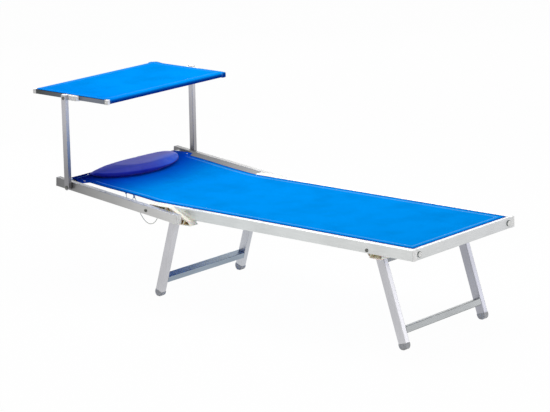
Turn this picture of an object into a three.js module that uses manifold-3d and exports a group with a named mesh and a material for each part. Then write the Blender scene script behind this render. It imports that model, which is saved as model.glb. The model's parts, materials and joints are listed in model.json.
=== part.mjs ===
import * as THREE from 'three';
import { mergeVertices } from 'three/addons/utils/BufferGeometryUtils.js';
import Module from 'manifold-3d';

// Folding sun lounger with a recline joint, a pillow and a tilting canopy.
// Millimetres, +Z up, +X towards the foot end, right is -Y, floor at zero.

const wasm = await Module();
wasm.setup();

// Clearances
const gap = 0.3;
const boltClearance = 0.35;
const overrun = 6;

// Seat frame
const seatLength = 1354;
const seatWidth = 624;
const seatHeight = 418;
const railWidth = 25;
const railHeight = 43;
const railWall = 1.8;
const railCorner = 2.5;
const innerCorner = 0.6;
const endCapThickness = 3;
const spigotLength = 18;

// Slot that grips the sling's welt
const clothInset = 21.9;
const slotSideClearance = 0.4;
const hemThickness = 1.2;
const weltRadius = 3.1;
const weltInset = 20;
const weltDepth = 7.5;
const lipDrop = 1.2;

// Sling
const clothThickness = 1.6;
const bendClearance = 17;
const sleeveLooseness = 0.4;
const sleeveEndClearance = 35;
const flapLength = 100;
const flapHeadRun = 58;
const flapFootRun = 14;
const flapSideClearance = 8;

// Recline joint
const pivotDepth = 20;
const reclineGap = 27;
const jointProud = 22;
const hubRadius = 20;
const hubCoreRadius = 11;
const bossRadius = 13;
const mitreTopReach = 108;
const mitreRun = 102;
const jointDrop = 44.5;
const jointToeReach = 224;
const jointHeelReach = 123;
const mitreBandThickness = 6;
const mouldedWall = 3;
const mouldedWeb = 3;
const ribThickness = 2.4;
const jointSpigotLength = 60;

// Backrest
const backIncline = 5.6;
const headOverhang = 37;
const backTail = 179;
const backRailDepth = 38;
const backRailTop = 20;
const headTubeSetback = 49.5;
const headTubeRadius = 12.5;
const tubeWall = 1.5;
const armReach = 447.5;
const armRise = -1;

// Legs
const footLegReach = 225;
const headLegSetback = 61;
const legPivotRise = 11.6;
const footLegLean = 17.1;
const headLegLean = 18.7;
const legInset = 56.5;
const legWidth = 38;
const legThickness = 25;
const legCorner = 3;
const legWall = 1.6;
const soleCut = 1.6;
const shoeHeight = 26;
const barDepth = 26;
const barThickness = 36;
const headBarHeight = 75;
const footBarHeight = 69;
const topBarDrop = 54;
const axleRadius = 9.5;
const axleSeat = 20;

// Leg brackets
const bracketFront = 54;
const bracketBack = 22;
const bracketRise = 15;
const bracketDrop = 37;
const bracketCorner = 8;
const stopHeight = 25;

// Canopy arms
const armLean = 2.1;
const armLength = 381.5;
const armWidth = 25;
const armThickness = 20;
const armCorner = 2.5;
const armTop = 13;
const armSpacer = 1.6;
const spacerRadius = 9;

// Canopy roof
const roofFall = 0.5;
const roofHeadReach = 225;
const roofFootReach = 229;
const roofRailHeight = 19;
const roofRailWidth = 15;
const roofCorner = 2;
const roofTubeRadius = 8;
const roofTubeInset = 10;
const roofTubeWall = 1.2;
const roofClothThickness = 1.6;
const roofSag = 5;
const roofCapLength = 19;
const roofCapOver = 0.3;
const roofCapRounding = 3;
const teeThickness = 16;
const teeHeadReach = 16;
const teeFootReach = 57;
const teeOver = 0.6;
const teeLip = 2.5;

// Pillow
const pillowWidth = 528;
const pillowDepth = 146;
const pillowHeight = 48;
const pillowEdge = 6;
const pillowSetback = 42;

// Fasteners
const boltRadius = 4;
const boltHeadRadius = 6.5;
const boltHeadHeight = 2.6;
const boltTail = 6;
const nutRadius = 7;
const nutHeight = 3.2;
const plugHeadRadius = 11;
const plugHeadHeight = 5;
const plugShankRadius = 5;
const plugShankLength = 10;
const plugInset = 12;

// Cord, points chosen by hand at rest
const cordRadius = 1.5;
const cordPoints = [
  [-1545, -286.5, 428.4], [-1544.8, -286.4, 420], [-1542.5, -286.2, 410], [-1537, -286, 402],
  [-1529, -286, 397.6], [-1520.5, -286, 397], [-1512.8, -286, 400], [-1508, -286.2, 406],
  [-1505.6, -286.3, 412], [-1502.6, -286.5, 416.6], [-1498.3, -286.5, 418.6], [-1494, -286.5, 416.4],
  [-1491.4, -286.3, 411.4], [-1489.8, -286.1, 403], [-1487.2, -285.9, 392], [-1482, -285.6, 379],
  [-1474, -285.3, 364], [-1464, -285, 347.5], [-1452, -284.6, 332.5], [-1437, -284.2, 320.5],
  [-1420, -283.8, 315], [-1403.5, -283.4, 317.2], [-1388.5, -283, 325.5], [-1376.5, -282.8, 338.5],
  [-1367.5, -282.7, 354], [-1360.5, -282.7, 370], [-1355.8, -282.7, 383], [-1354.2, -282.7, 390],
  [-1354, -282.7, 393.6],
];
const cordSteps = 64;

// Numbers of faces
const roundSides = 16;
const smallSides = 12;
const cordSides = 8;
const cornerSegments = 2;
const endSegments = 8;

// Colours, roughness and metalness
const finishes = {
  frame: { color: 0xc9ccc8, roughness: 0.42, metalness: 0.85 },
  legs: { color: 0xc0c2c6, roughness: 0.4, metalness: 0.85 },
  nylon: { color: 0xe9e2cd, roughness: 0.5, metalness: 0 },
  white: { color: 0xf0f1ee, roughness: 0.45, metalness: 0 },
  shoe: { color: 0xa9abae, roughness: 0.6, metalness: 0 },
  steel: { color: 0x8b8d8c, roughness: 0.35, metalness: 1 },
  cloth: { color: 0x0591f5, roughness: 0.7, metalness: 0 },
  pillow: { color: 0x2a3fb5, roughness: 0.55, metalness: 0 },
  cord: { color: 0xd9dcd4, roughness: 0.7, metalness: 0 },
};

// Places worked out from the sizes
const radians = THREE.MathUtils.degToRad;
const seatOuter = seatWidth / 2;
const seatInner = seatOuter - railWidth;
const clothEdge = seatOuter - clothInset;
const railBottom = seatHeight - railHeight;
const legPivotHeight = railBottom + legPivotRise;
const pivotHeight = seatHeight - pivotDepth;
const backInner = seatOuter + reclineGap;
const backOuter = backInner + railWidth;
const armInner = backOuter + armSpacer;
const armOuter = armInner + armThickness;
const roofOuter = armInner - teeThickness;
const roofInner = roofOuter - roofRailWidth;
const legOuter = seatOuter - legInset;
const legInner = legOuter - legThickness;
const jointInner = clothEdge + hemThickness / 2;
const clothBottom = seatHeight - lipDrop + gap;
const clothTop = clothBottom + clothThickness;
const headLegReach = seatLength - headLegSetback;
const headTubeReach = armReach + headTubeSetback;
const backRailLow = backRailTop - backRailDepth;
const headTubeRise = (backRailTop + backRailLow) / 2;
const backReach = headTubeReach + headOverhang;
const pillowReach = headTubeReach - pillowSetback;
const footRailEnd = seatInner - gap;
const plugHeight = railBottom + railHeight / 2;
const plugPlace = footRailEnd - plugInset;

function shapeOf(points) {
  return new THREE.Shape(points.map(([a, b]) => new THREE.Vector2(a, b)));
}

// Points of an arc in a plane, from one angle to another in degrees
function arcPoints(x, y, radius, from, to, count) {
  return Array.from({ length: count + 1 }, (_, i) => {
    const angle = radians(from + (to - from) * i / count);
    return [x + radius * Math.cos(angle), y + radius * Math.sin(angle)];
  });
}

function circleShape(x, y, radius) {
  return shapeOf(arcPoints(x, y, radius, 0, 360, roundSides).slice(1));
}

// Rectangle with rounded corners between two corners
function roundedShape(x0, y0, x1, y1, radius) {
  return shapeOf([
    ...arcPoints(x1 - radius, y0 + radius, radius, -90, 0, cornerSegments),
    ...arcPoints(x1 - radius, y1 - radius, radius, 0, 90, cornerSegments),
    ...arcPoints(x0 + radius, y1 - radius, radius, 90, 180, cornerSegments),
    ...arcPoints(x0 + radius, y0 + radius, radius, 180, 270, cornerSegments),
  ]);
}

// Closed solid from a geometry, with its shared corners merged
function solid(geometry) {
  const bare = geometry.index ? geometry : geometry.clone();
  bare.deleteAttribute('normal');
  bare.deleteAttribute('uv');
  const merged = mergeVertices(bare);
  const vertProperties = merged.attributes.position.array;
  return new wasm.Manifold(new wasm.Mesh({ numProp: 3, vertProperties, triVerts: merged.index.array }));
}

function geometryOf(body) {
  const mesh = body.getMesh();
  const geometry = new THREE.BufferGeometry();
  geometry.setAttribute('position', new THREE.BufferAttribute(mesh.vertProperties, mesh.numProp));
  geometry.setIndex(new THREE.BufferAttribute(mesh.triVerts, 1));
  return geometry;
}

function join(...bodies) {
  return bodies.reduce((all, body) => all.add(body));
}

function cut(body, ...tools) {
  return tools.reduce((rest, tool) => rest.subtract(tool), body);
}

function extrusion(shape, depth) {
  return new THREE.ExtrudeGeometry(shape, { depth, bevelEnabled: false });
}

// Side view in X and Z, carried from y0 to y1
function plate(shape, y0, y1) {
  return solid(extrusion(shape, y1 - y0).rotateX(Math.PI / 2).translate(0, y1, 0));
}

// Section in Y and Z, carried from x0 to x1
function beamX(shape, x0, x1) {
  const turn = new THREE.Matrix4().makeBasis(
    new THREE.Vector3(0, 1, 0), new THREE.Vector3(0, 0, 1), new THREE.Vector3(1, 0, 0));
  return solid(extrusion(shape, x1 - x0).applyMatrix4(turn).translate(x0, 0, 0));
}

// Plan in X and Y, carried from z0 to z1
function beamZ(shape, z0, z1) {
  return solid(extrusion(shape, z1 - z0).translate(0, 0, z0));
}

function block(x0, x1, y0, y1, z0, z1) {
  const geometry = new THREE.BoxGeometry(x1 - x0, y1 - y0, z1 - z0);
  return solid(geometry.translate((x0 + x1) / 2, (y0 + y1) / 2, (z0 + z1) / 2));
}

function rodY(radius, y0, y1, x, z, sides = roundSides) {
  return solid(new THREE.CylinderGeometry(radius, radius, y1 - y0, sides).translate(x, (y0 + y1) / 2, z));
}

function rodX(radius, x0, x1, y, z, sides = roundSides) {
  const geometry = new THREE.CylinderGeometry(radius, radius, x1 - x0, sides).rotateZ(Math.PI / 2);
  return solid(geometry.translate((x0 + x1) / 2, y, z));
}

// Bolt hole along Y
function bore(y0, y1, x, z) {
  return rodY(boltRadius + boltClearance, y0, y1, x, z, smallSides);
}

function pipeY(radius, wall, y0, y1, x, z) {
  return cut(rodY(radius, y0, y1, x, z), rodY(radius - wall, y0 - overrun, y1 + overrun, x, z));
}

// Mirror image of a right-hand solid, for the left side
function leftOf(body) {
  return body.mirror([0, 1, 0]);
}

// Flat bar of a moulding between two points of its side view
function rib([x0, z0], [x1, z1], y0, y1, thickness = ribThickness) {
  const along = new THREE.Vector2(x1 - x0, z1 - z0);
  const side = new THREE.Vector2(-along.y, along.x).setLength(thickness / 2);
  const corners = [[x0 + side.x, z0 + side.y], [x0 - side.x, z0 - side.y],
    [x1 - side.x, z1 - side.y], [x1 + side.x, z1 + side.y]];
  return plate(shapeOf(corners), y0, y1);
}

// Corner points of an outline moved inwards by one wall
function inset(points, distance) {
  return points.map(([x, z], i) => {
    const [xa, za] = points[(i + points.length - 1) % points.length];
    const [xb, zb] = points[(i + 1) % points.length];
    const before = new THREE.Vector2(x - xa, z - za).normalize();
    const after = new THREE.Vector2(xb - x, zb - z).normalize();
    const turn = 1 + before.dot(after);
    const side = new THREE.Vector2(-before.y - after.y, before.x + after.x).multiplyScalar(distance / turn);
    return [x + side.x, z + side.y];
  });
}

// Moulding open towards y0: outer wall, web at y1, and the bodies to keep inside
function moulding(points, y0, y1, kept) {
  const pocket = plate(shapeOf(inset(points, mouldedWall)), y0 - overrun, y1 - mouldedWeb);
  return cut(plate(shapeOf(points), y0, y1), cut(pocket, ...kept));
}

// Bolt along Y with a domed head at its outer end and a nut near its inner end, right side
function boltY(headFace, nutFace, tail, x, z) {
  const head = rodY(boltHeadRadius, -headFace - gap - boltHeadHeight, -headFace - gap, x, z, smallSides);
  const shank = rodY(boltRadius, -headFace - gap, -nutFace + gap + tail, x, z, smallSides);
  const nut = rodY(nutRadius, -nutFace + gap, -nutFace + gap + nutHeight, x, z, 6);
  return join(head, shank, nut);
}

const lounger = new THREE.Group();
const seat = new THREE.Group();
const backrest = new THREE.Group();
const arms = new THREE.Group();
const roof = new THREE.Group();
const headLegs = new THREE.Group();
const footLegs = new THREE.Group();
lounger.add(seat);

function show(name, body, group, finish) {
  const material = new THREE.MeshStandardMaterial(finishes[finish]);
  const geometry = body.isBufferGeometry ? body : geometryOf(body);
  const mesh = new THREE.Mesh(geometry, material);
  mesh.name = name;
  group.add(mesh);
}

function showPair(name, body, group, finish) {
  show(`${name}_right`, body, group, finish);
  show(`${name}_left`, leftOf(body), group, finish);
}

function both(body) {
  return join(body, leftOf(body));
}

// Rail profile as solids along a beam: u is measured from the outer face, v from the bottom
const weltHeight = railHeight - weltDepth;
const grooveRadius = weltRadius + slotSideClearance;
const throatStart = clothInset - slotSideClearance;
const throatEnd = clothInset + hemThickness + slotSideClearance;
const cavityTop = weltHeight - grooveRadius - railWall;

function railProfile(beam) {
  const outer = beam(roundedShape(0, 0, railWidth, railHeight, railCorner), 0);
  const inside = roundedShape(railWall, railWall, railWidth - railWall, railHeight - railWall, innerCorner);
  const grooveWall = circleShape(weltInset, weltHeight, grooveRadius + railWall);
  const throatWall = shapeOf([[throatStart - railWall, weltHeight], [railWidth, weltHeight],
    [railWidth, railHeight], [throatStart - railWall, railHeight]]);
  const groove = circleShape(weltInset, weltHeight, grooveRadius);
  const throat = shapeOf([[throatStart, weltHeight], [throatEnd, weltHeight],
    [throatEnd, railHeight + overrun], [throatStart, railHeight + overrun]]);
  const lip = shapeOf([[throatStart, railHeight - lipDrop], [railWidth + overrun, railHeight - lipDrop],
    [railWidth + overrun, railHeight + overrun], [throatStart, railHeight + overrun]]);
  const cavity = cut(beam(inside, overrun), beam(grooveWall, overrun * 2), beam(throatWall, overrun * 2));
  return cut(outer, cavity, beam(groove, overrun), beam(throat, overrun), beam(lip, overrun));
}

// Side rail along X, its head end cut on a slant for the recline joint
const mitreTop = -seatLength + mitreTopReach;
const mitreBottom = mitreTop + mitreRun;

function sideRail() {
  const end = -endCapThickness - gap;
  const beam = (shape, over) => beamX(shape, mitreTop - over, end + over);
  const rail = railProfile(beam).translate([0, -seatOuter, railBottom]);
  const slope = mitreRun / railHeight;
  const above = seatHeight + overrun;
  const below = railBottom - overrun;
  const mitre = shapeOf([[mitreTop - mitreRun, above], [mitreTop - slope * overrun, above],
    [mitreBottom + slope * overrun, below], [mitreTop - mitreRun, below]]);
  const boltHole = bore(-seatOuter - overrun, -seatInner + overrun, -footLegReach, legPivotHeight);
  const notchStart = -seatInner - railWall - gap;
  const notch = block(-notchLength - gap, overrun, notchStart, -seatInner + overrun, notchLow, notchHigh);
  return cut(rail, plate(mitre, -seatOuter - overrun, -seatInner + overrun), boltHole, notch);
}

// Foot rail of the same profile along Y, its outer face at the foot end
function footRail() {
  const turn = new THREE.Matrix4().makeBasis(
    new THREE.Vector3(-1, 0, 0), new THREE.Vector3(0, 0, 1), new THREE.Vector3(0, 1, 0));
  const beam = (shape, over) => {
    const length = (footRailEnd + over) * 2;
    return solid(extrusion(shape, length).applyMatrix4(turn).translate(0, -footRailEnd - over, railBottom));
  };
  const hole = rodX(plugShankRadius + gap, -railWall - overrun, overrun, plugPlace, plugHeight);
  return cut(railProfile(beam), both(hole));
}

// Moulded corner: cap on the side rail's end, its spigot turning through a notch into the foot rail
const notchLength = endCapThickness + spigotLength;
const notchLow = railBottom + railWall;
const notchHigh = railBottom + cavityTop;

function footCorner() {
  const section = roundedShape(-seatOuter, railBottom, -seatInner, seatHeight, railCorner);
  const start = -seatOuter + railWall + gap;
  const end = -plugPlace + plugInset;
  const spigot = block(-notchLength, -endCapThickness, start, end, notchLow + gap, notchHigh - gap);
  const plugRoom = rodX(plugShankRadius + gap, -plugShankLength - gap, 0, -plugPlace, plugHeight);
  return cut(join(beamX(section, -endCapThickness, 0), spigot), plugRoom);
}

// Round plug on the foot rail: low dome on a short shank
function footPlug() {
  const profile = [[0, -plugShankLength], [plugShankRadius, -plugShankLength], [plugShankRadius, gap],
    [plugHeadRadius, gap], [plugHeadRadius, plugHeadHeight / 2],
    [plugHeadRadius - plugHeadHeight / 2, plugHeadHeight], [0, plugHeadHeight]];
  const points = profile.map(([r, h]) => new THREE.Vector2(r, h));
  const geometry = new THREE.LatheGeometry(points, roundSides).rotateZ(-Math.PI / 2);
  return solid(geometry.translate(0, -plugPlace, plugHeight));
}

// Recline joint: ribbed nylon moulding, side view measured from the backrest's pivot
// Ribs from one point to another, as shares of the toe's reach along X and of the hub's radius along Z
const jointRibShares = [
  [[0.12, 0.4], [0.36, -0.5]], [[0.12, -0.5], [0.36, 0.5]], [[0.37, 0.9], [0.37, -0.9]],
  [[0.48, 0.9], [0.56, -2.1]], [[0.37, 0.9], [0.56, -0.9]], [[0.56, -2.1], [0.66, -0.7]],
  [[0.66, 0], [0.66, -2.1]], [[0.7, -1.45], [0.86, -0.65]], [[0.8, -2.1], [0.86, -0.65]],
];

function reclineJoint() {
  const top = pivotDepth;
  const bottom = pivotDepth - railHeight;
  const slant = new THREE.Vector2(mitreRun, -railHeight);
  const back = new THREE.Vector2(slant.y, -slant.x).setLength(gap);
  const upper = [mitreTopReach + back.x, top];
  const lower = [mitreTopReach + mitreRun + back.x, bottom];
  const chin = (lower[0] + jointToeReach) / 2;
  const outline = [
    ...arcPoints(0, 0, hubRadius, 95, 265, 8),
    [jointHeelReach, -hubRadius], [jointHeelReach, -jointDrop],
    [jointToeReach, -jointDrop + mouldedWall], [chin, (bottom - jointDrop) / 2 - mouldedWall],
    lower, upper,
  ];
  const y0 = -seatOuter - jointProud;
  const y1 = -jointInner;
  const inward = new THREE.Vector2(slant.y, -slant.x).setLength(mitreBandThickness);
  const band = plate(shapeOf([upper, [upper[0] + inward.x, upper[1] + inward.y],
    [lower[0] + inward.x, lower[1] + inward.y], lower]), y0, y1);
  const legHubDepth = legPivotHeight - pivotHeight;
  const boss = rodY(bossRadius, -backInner + gap, y0 + overrun, 0, 0);
  const hub = rodY(hubCoreRadius, y0, y1, 0, 0);
  const secondHub = rodY(hubCoreRadius, y0, y1, headLegSetback, legHubDepth);
  const ribPoint = ([along, up]) => [along * jointToeReach, up * hubRadius];
  const ribs = jointRibShares.map(([from, to]) => rib(ribPoint(from), ribPoint(to), y0, y1));
  const body = moulding(outline, y0, y1, [band, hub, secondHub, ...ribs]);
  const inside = railWall + gap;
  const spigotTop = bottom + cavityTop - gap;
  const spigotEnd = mitreTopReach + mitreRun + jointSpigotLength;
  const mitreAt = (z) => mitreTopReach + (top - z) * mitreRun / railHeight - mitreBandThickness / 2;
  const spigotSide = shapeOf([[mitreAt(spigotTop), spigotTop], [mitreAt(bottom + inside), bottom + inside],
    [spigotEnd, bottom + inside], [spigotEnd, spigotTop]]);
  const spigot = plate(spigotSide, -seatOuter + inside, -seatInner - inside);
  const joint = cut(join(body, spigot, boss), bore(-backOuter, y1 + overrun, 0, 0));
  return joint.translate([-seatLength, 0, pivotHeight]);
}

// Leg bracket with its stop, measured from the leg's pivot; facing is 1 where the leg leans to +X
function legBracket(facing, lean, y0) {
  const x = (value) => value * facing;
  const ordered = (points) => (facing > 0 ? points : [...points].reverse());
  const y1 = -legOuter - gap;
  const outline = ordered([
    [x(-bracketBack), bracketRise], [x(-bracketBack), -bracketRise], [x(-bracketCorner), -bracketDrop],
    [x(bracketFront - bracketCorner), -bracketDrop], [x(bracketFront), -bracketDrop + bracketCorner],
    [x(bracketFront), 0], [x(bracketFront - bracketRise), bracketRise],
  ]);
  const hub = rodY(axleRadius + mouldedWall, y0, y1, 0, 0);
  const frontRib = rib([0, 0], [x(bracketFront), -bracketDrop / 2], y0, y1);
  const backRib = rib([0, 0], [x(-bracketCorner), -bracketDrop], y0, y1);
  const body = moulding(outline, y0, y1, [hub, frontRib, backRib]);
  const angle = radians(lean);
  const edge = (drop) => drop * Math.tan(angle) + (legWidth / 2 + gap) / Math.cos(angle);
  const stopTop = bracketDrop - stopHeight;
  const stopSide = ordered([
    [x(edge(bracketDrop)), -bracketDrop], [x(bracketFront - mouldedWall), -bracketDrop],
    [x(bracketFront), -bracketDrop + bracketCorner], [x(bracketFront), -stopTop],
    [x(edge(stopTop)), -stopTop],
  ]);
  return join(body, plate(shapeOf(stopSide), y1 - mouldedWeb, -legInner));
}

function footBracket() {
  const bracket = legBracket(1, footLegLean, -seatInner + gap);
  return cut(bracket, bore(-seatOuter, -legInner, 0, 0)).translate([-footLegReach, 0, legPivotHeight]);
}

function headBracket() {
  const bracket = legBracket(-1, headLegLean, -jointInner + gap);
  const axleRoom = rodY(axleRadius + gap, -legOuter - axleSeat - gap, -legInner, 0, 0);
  return cut(bracket, axleRoom).translate([-headLegReach, 0, legPivotHeight]);
}

// Seat part of the sling: flat cloth with a hem and welt hanging in the slots of three rails
function seatSling() {
  const headEnd = -seatLength + bendClearance;
  const footEnd = -clothInset;
  const sheet = block(headEnd, footEnd, -clothEdge, clothEdge, clothBottom, clothTop);
  const weltZ = railBottom + weltHeight;
  const weltY = -seatOuter + weltInset;
  const hemStart = mitreTop + mitreRun * (weltDepth + weltRadius) / railHeight + overrun;
  const hemEnd = -railWidth - overrun;
  const hem = block(hemStart, hemEnd, -clothEdge, -clothEdge + hemThickness, weltZ, clothTop);
  const welt = rodX(weltRadius, hemStart, hemEnd, weltY, weltZ, smallSides);
  const footHemEnd = seatInner - overrun;
  const footHem = block(footEnd - hemThickness, footEnd, -footHemEnd, footHemEnd, weltZ, clothTop);
  const footWelt = rodY(weltRadius, -footHemEnd, footHemEnd, -weltInset, weltZ, smallSides);
  return join(sheet, both(join(hem, welt)), footHem, footWelt);
}

// Back rail around the pivot, in the backrest's own frame
function backRail() {
  const low = backRailLow;
  const start = -backReach + endCapThickness + gap;
  const end = backTail - endCapThickness - gap;
  const outer = beamX(roundedShape(-backOuter, low, -backInner, backRailTop, railCorner), start, end);
  const inner = beamX(roundedShape(-backOuter + railWall, low + railWall, -backInner - railWall,
    backRailTop - railWall, innerCorner), start - overrun, end + overrun);
  const holes = [bore(-backOuter - overrun, -backInner + overrun, 0, 0),
    bore(-backOuter - overrun, -backInner + overrun, -armReach, armRise)];
  const seatStart = -backOuter + railWall;
  const tubeSeat = rodY(headTubeRadius + gap, seatStart, -backInner + overrun, -headTubeReach, headTubeRise);
  return cut(outer, inner, tubeSeat, ...holes);
}

function backCap(x0, x1, inwards) {
  const low = backRailLow;
  const side = roundedShape(x0, low, x1, backRailTop, endCapThickness / 2);
  const inside = railWall + gap;
  const from = inwards > 0 ? x1 : x0 - spigotLength;
  const spigot = block(from, from + spigotLength, -backOuter + inside, -backInner - inside,
    low + inside, backRailTop - inside);
  return join(plate(side, -backOuter, -backInner), spigot);
}

// Back part of the sling: a sheet that falls a little against the rails, ending in a sleeve
const sleeveInner = headTubeRadius + sleeveLooseness;
const sleeveOuter = sleeveInner + clothThickness;
const sleeveTop = headTubeRise + sleeveOuter;
const bendHeight = clothBottom - pivotHeight;
const sheetFall = Math.atan2(bendHeight + clothThickness - sleeveTop, headTubeReach - bendClearance);

function backSheet(y0, y1, reach) {
  const slope = Math.tan(sheetFall);
  const bottomAt = (distance) => bendHeight - (distance - bendClearance) * slope;
  const start = bottomAt(reach);
  const points = [[-reach, start], [-reach, start + clothThickness],
    [-headTubeReach, sleeveTop], [-headTubeReach, sleeveTop - clothThickness]];
  return plate(shapeOf(points), y0, y1);
}

function backSling() {
  const sleeveEnd = backInner - sleeveEndClearance;
  const flapEdge = backInner - flapSideClearance;
  const ring = pipeY(sleeveOuter, clothThickness, -sleeveEnd, sleeveEnd, -headTubeReach, headTubeRise);
  const footCorner = -headTubeReach + flapLength;
  const plan = beamZ(shapeOf([[-headTubeReach, -clothEdge + overrun], [-headTubeReach, -sleeveEnd],
    [-headTubeReach + flapHeadRun, -flapEdge], [footCorner - flapFootRun, -flapEdge],
    [footCorner, -clothEdge], [footCorner, -clothEdge + overrun]]), headTubeRise, bendHeight + overrun);
  const flap = backSheet(-flapEdge, -clothEdge + overrun, headTubeReach - flapLength).intersect(plan);
  return join(ring, backSheet(-clothEdge, clothEdge, bendClearance), both(flap));
}

// Half-moon pillow: rings from the seam up to the crown and down to the flat underside
const pillowTopShares = [[1, 0.5], [0.97, 0.66], [0.9, 0.8], [0.76, 0.92], [0.55, 0.98], [0.28, 1]];
const pillowBottomShares = [[0.9, 0.14], [0.75, 0]];
const pillowCentreShare = 0.4;
const pillowTipShare = 0.45;
const pillowSteps = 36;

function pillow() {
  const steps = pillowSteps;
  const centre = pillowDepth * pillowCentreShare;
  const outline = Array.from({ length: steps }, (_, i) => {
    const angle = (i / steps) * Math.PI * 2;
    const across = Math.cos(angle);
    const along = Math.sin(angle);
    const depth = along > 0 ? pillowDepth * Math.sqrt(1 - across * across) : -pillowEdge * Math.abs(along);
    return [depth - centre, -across * pillowWidth / 2];
  });
  const seam = pillowHeight / 3;
  const positions = [];
  const faces = [];
  const ring = (scale, height) => outline.forEach(([x, y]) => {
    const end = 1 - Math.pow(Math.abs(y) / (pillowWidth / 2), 2);
    const share = pillowTipShare + (1 - pillowTipShare) * Math.sqrt(Math.max(end, 0));
    const rise = height < 0 ? height : height * share;
    positions.push(x * scale, y * scale, seam + rise);
  });
  const topRings = pillowTopShares.slice(1).reverse();
  topRings.forEach(([scale, share]) => ring(scale, (pillowHeight - seam) * (share * 2 - 1)));
  ring(1, pillowEdge / 2);
  ring(1, -pillowEdge / 2);
  pillowBottomShares.forEach(([scale, share]) => ring(scale, -seam * (1 - share)));
  const rings = pillowTopShares.length + 1 + pillowBottomShares.length;
  positions.push(0, 0, pillowHeight, 0, 0, 0);
  const crown = rings * steps;
  for (let i = 0; i < steps; i += 1) {
    const next = (i + 1) % steps;
    faces.push(crown, i, next);
    for (let k = 0; k + 1 < rings; k += 1) {
      const a = k * steps;
      const b = a + steps;
      faces.push(a + i, b + i, b + next, a + i, b + next, a + next);
    }
    const last = (rings - 1) * steps;
    faces.push(last + i, crown + 1, last + next);
  }
  const geometry = new THREE.BufferGeometry();
  geometry.setAttribute('position', new THREE.Float32BufferAttribute(positions, 3));
  geometry.setIndex(faces);
  return geometry.translate(centre, 0, 0);
}

// Section of a leg, or of its hollow with a wall's thickness taken off
function legSection(wall) {
  return roundedShape(-legWidth / 2 + wall, -legOuter + wall, legWidth / 2 - wall, -legInner - wall,
    wall > 0 ? legCorner - legWall : legCorner);
}

// Leg tube in its own frame: pivot at the origin, foot towards -Z
function legTube(length, holeRadius) {
  const end = -length + shoeHeight + gap;
  const wide = legWidth / 2 + overrun;
  const bar = beamZ(legSection(0), end, legWidth / 2);
  const tube = cut(bar, beamZ(legSection(legWall), end - overrun, legWidth));
  const side = shapeOf([[-wide, end - overrun], [wide, end - overrun], [wide, 0],
    ...arcPoints(0, 0, legWidth / 2, 0, 180, endSegments), [-wide, 0]]);
  const hole = rodY(holeRadius, -legOuter - overrun, -legInner + overrun, 0, 0);
  return cut(tube.intersect(plate(side, -legOuter - overrun, -legInner + overrun)), hole);
}

// Length from the pivot to the centre of the rounded shoe, whose sole is cut flat on the floor
function legReach(lean) {
  return (legPivotHeight - legWidth / 2 + soleCut) / Math.cos(radians(lean));
}

function legShoe(lean, facing) {
  const reach = legReach(lean);
  const top = -reach - legWidth / 2 + shoeHeight;
  const side = shapeOf([[legWidth / 2, top], [-legWidth / 2, top],
    ...arcPoints(0, -reach, legWidth / 2, 180, 360, endSegments)]);
  const spigot = beamZ(legSection(legWall + gap), top, top + spigotLength);
  const shoe = join(plate(side, -legOuter, -legInner), spigot);
  const floor = new THREE.BoxGeometry(legWidth * 2, legWidth * 2, legWidth);
  floor.translate(0, -legOuter, -legWidth / 2);
  floor.translate(facing * legPivotHeight * Math.tan(radians(lean)), 0, -legPivotHeight);
  floor.rotateY(radians(lean) * facing);
  return cut(shoe, solid(floor));
}

function crossBar(drop) {
  const section = roundedShape(-barThickness / 2, -drop - barDepth / 2,
    barThickness / 2, -drop + barDepth / 2, railCorner);
  const core = roundedShape(-barThickness / 2 + legWall, -drop - barDepth / 2 + legWall,
    barThickness / 2 - legWall, -drop + barDepth / 2 - legWall, innerCorner);
  const end = legInner - gap;
  return cut(plate(section, -end, end), plate(core, -end - overrun, end + overrun));
}

// Canopy arm in its own frame: lower pivot at the origin
function canopyArm() {
  const end = armLength + armTop;
  const section = roundedShape(-armWidth / 2, -armOuter, armWidth / 2, -armInner, armCorner);
  const core = roundedShape(-armWidth / 2 + railWall, -armOuter + railWall, armWidth / 2 - railWall,
    -armInner - railWall, innerCorner);
  const tube = cut(beamZ(section, -armWidth / 2, end), beamZ(core, -armWidth, end + overrun));
  const side = shapeOf([[armWidth / 2 + overrun, 0], [armWidth / 2 + overrun, end + overrun],
    [-armWidth / 2 - overrun, end + overrun], [-armWidth / 2 - overrun, 0],
    ...arcPoints(0, 0, armWidth / 2, 180, 360, endSegments)]);
  const holes = [0, armLength].map((z) => bore(-armOuter - overrun, -armInner + overrun, 0, z));
  return cut(tube.intersect(plate(side, -armOuter - overrun, -armInner + overrun)), ...holes);
}

// Roof side rail between its corner caps, in the roof's own frame around the arm's upper bolt
function roofRail() {
  const start = -roofHeadReach + roofCapLength + gap;
  const end = roofFootReach - roofCapLength - gap;
  const half = roofRailHeight / 2;
  const outer = beamX(roundedShape(-roofOuter, -half, -roofInner, half, roofCorner), start, end);
  const inner = beamX(roundedShape(-roofOuter + roofTubeWall, -half + roofTubeWall,
    -roofInner - roofTubeWall, half - roofTubeWall, innerCorner), start - overrun, end + overrun);
  return cut(outer, inner, bore(-roofOuter - overrun, -roofInner + overrun, 0, 0));
}

// Corner cap with one spigot in the side rail and one in the cross tube
function roofCap(x0, x1, inwards) {
  const half = roofRailHeight / 2 + roofCapOver;
  const plan = roundedShape(x0, -roofOuter - roofCapOver, x1, -roofInner, roofCapRounding);
  const inside = roofTubeWall + gap;
  const from = inwards > 0 ? x1 - overrun : x0 - spigotLength;
  const spigot = block(from, from + spigotLength + overrun, -roofOuter + inside, -roofInner - inside,
    -half + roofCapOver + inside, half - roofCapOver - inside);
  const tubeX = inwards > 0 ? x0 + roofTubeInset : x1 - roofTubeInset;
  const pegEnd = -roofInner + spigotLength;
  const peg = rodY(roofTubeRadius - inside, -roofInner - overrun, pegEnd, tubeX, 0, smallSides);
  return join(beamZ(plan, -half, half), spigot, peg);
}

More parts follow.
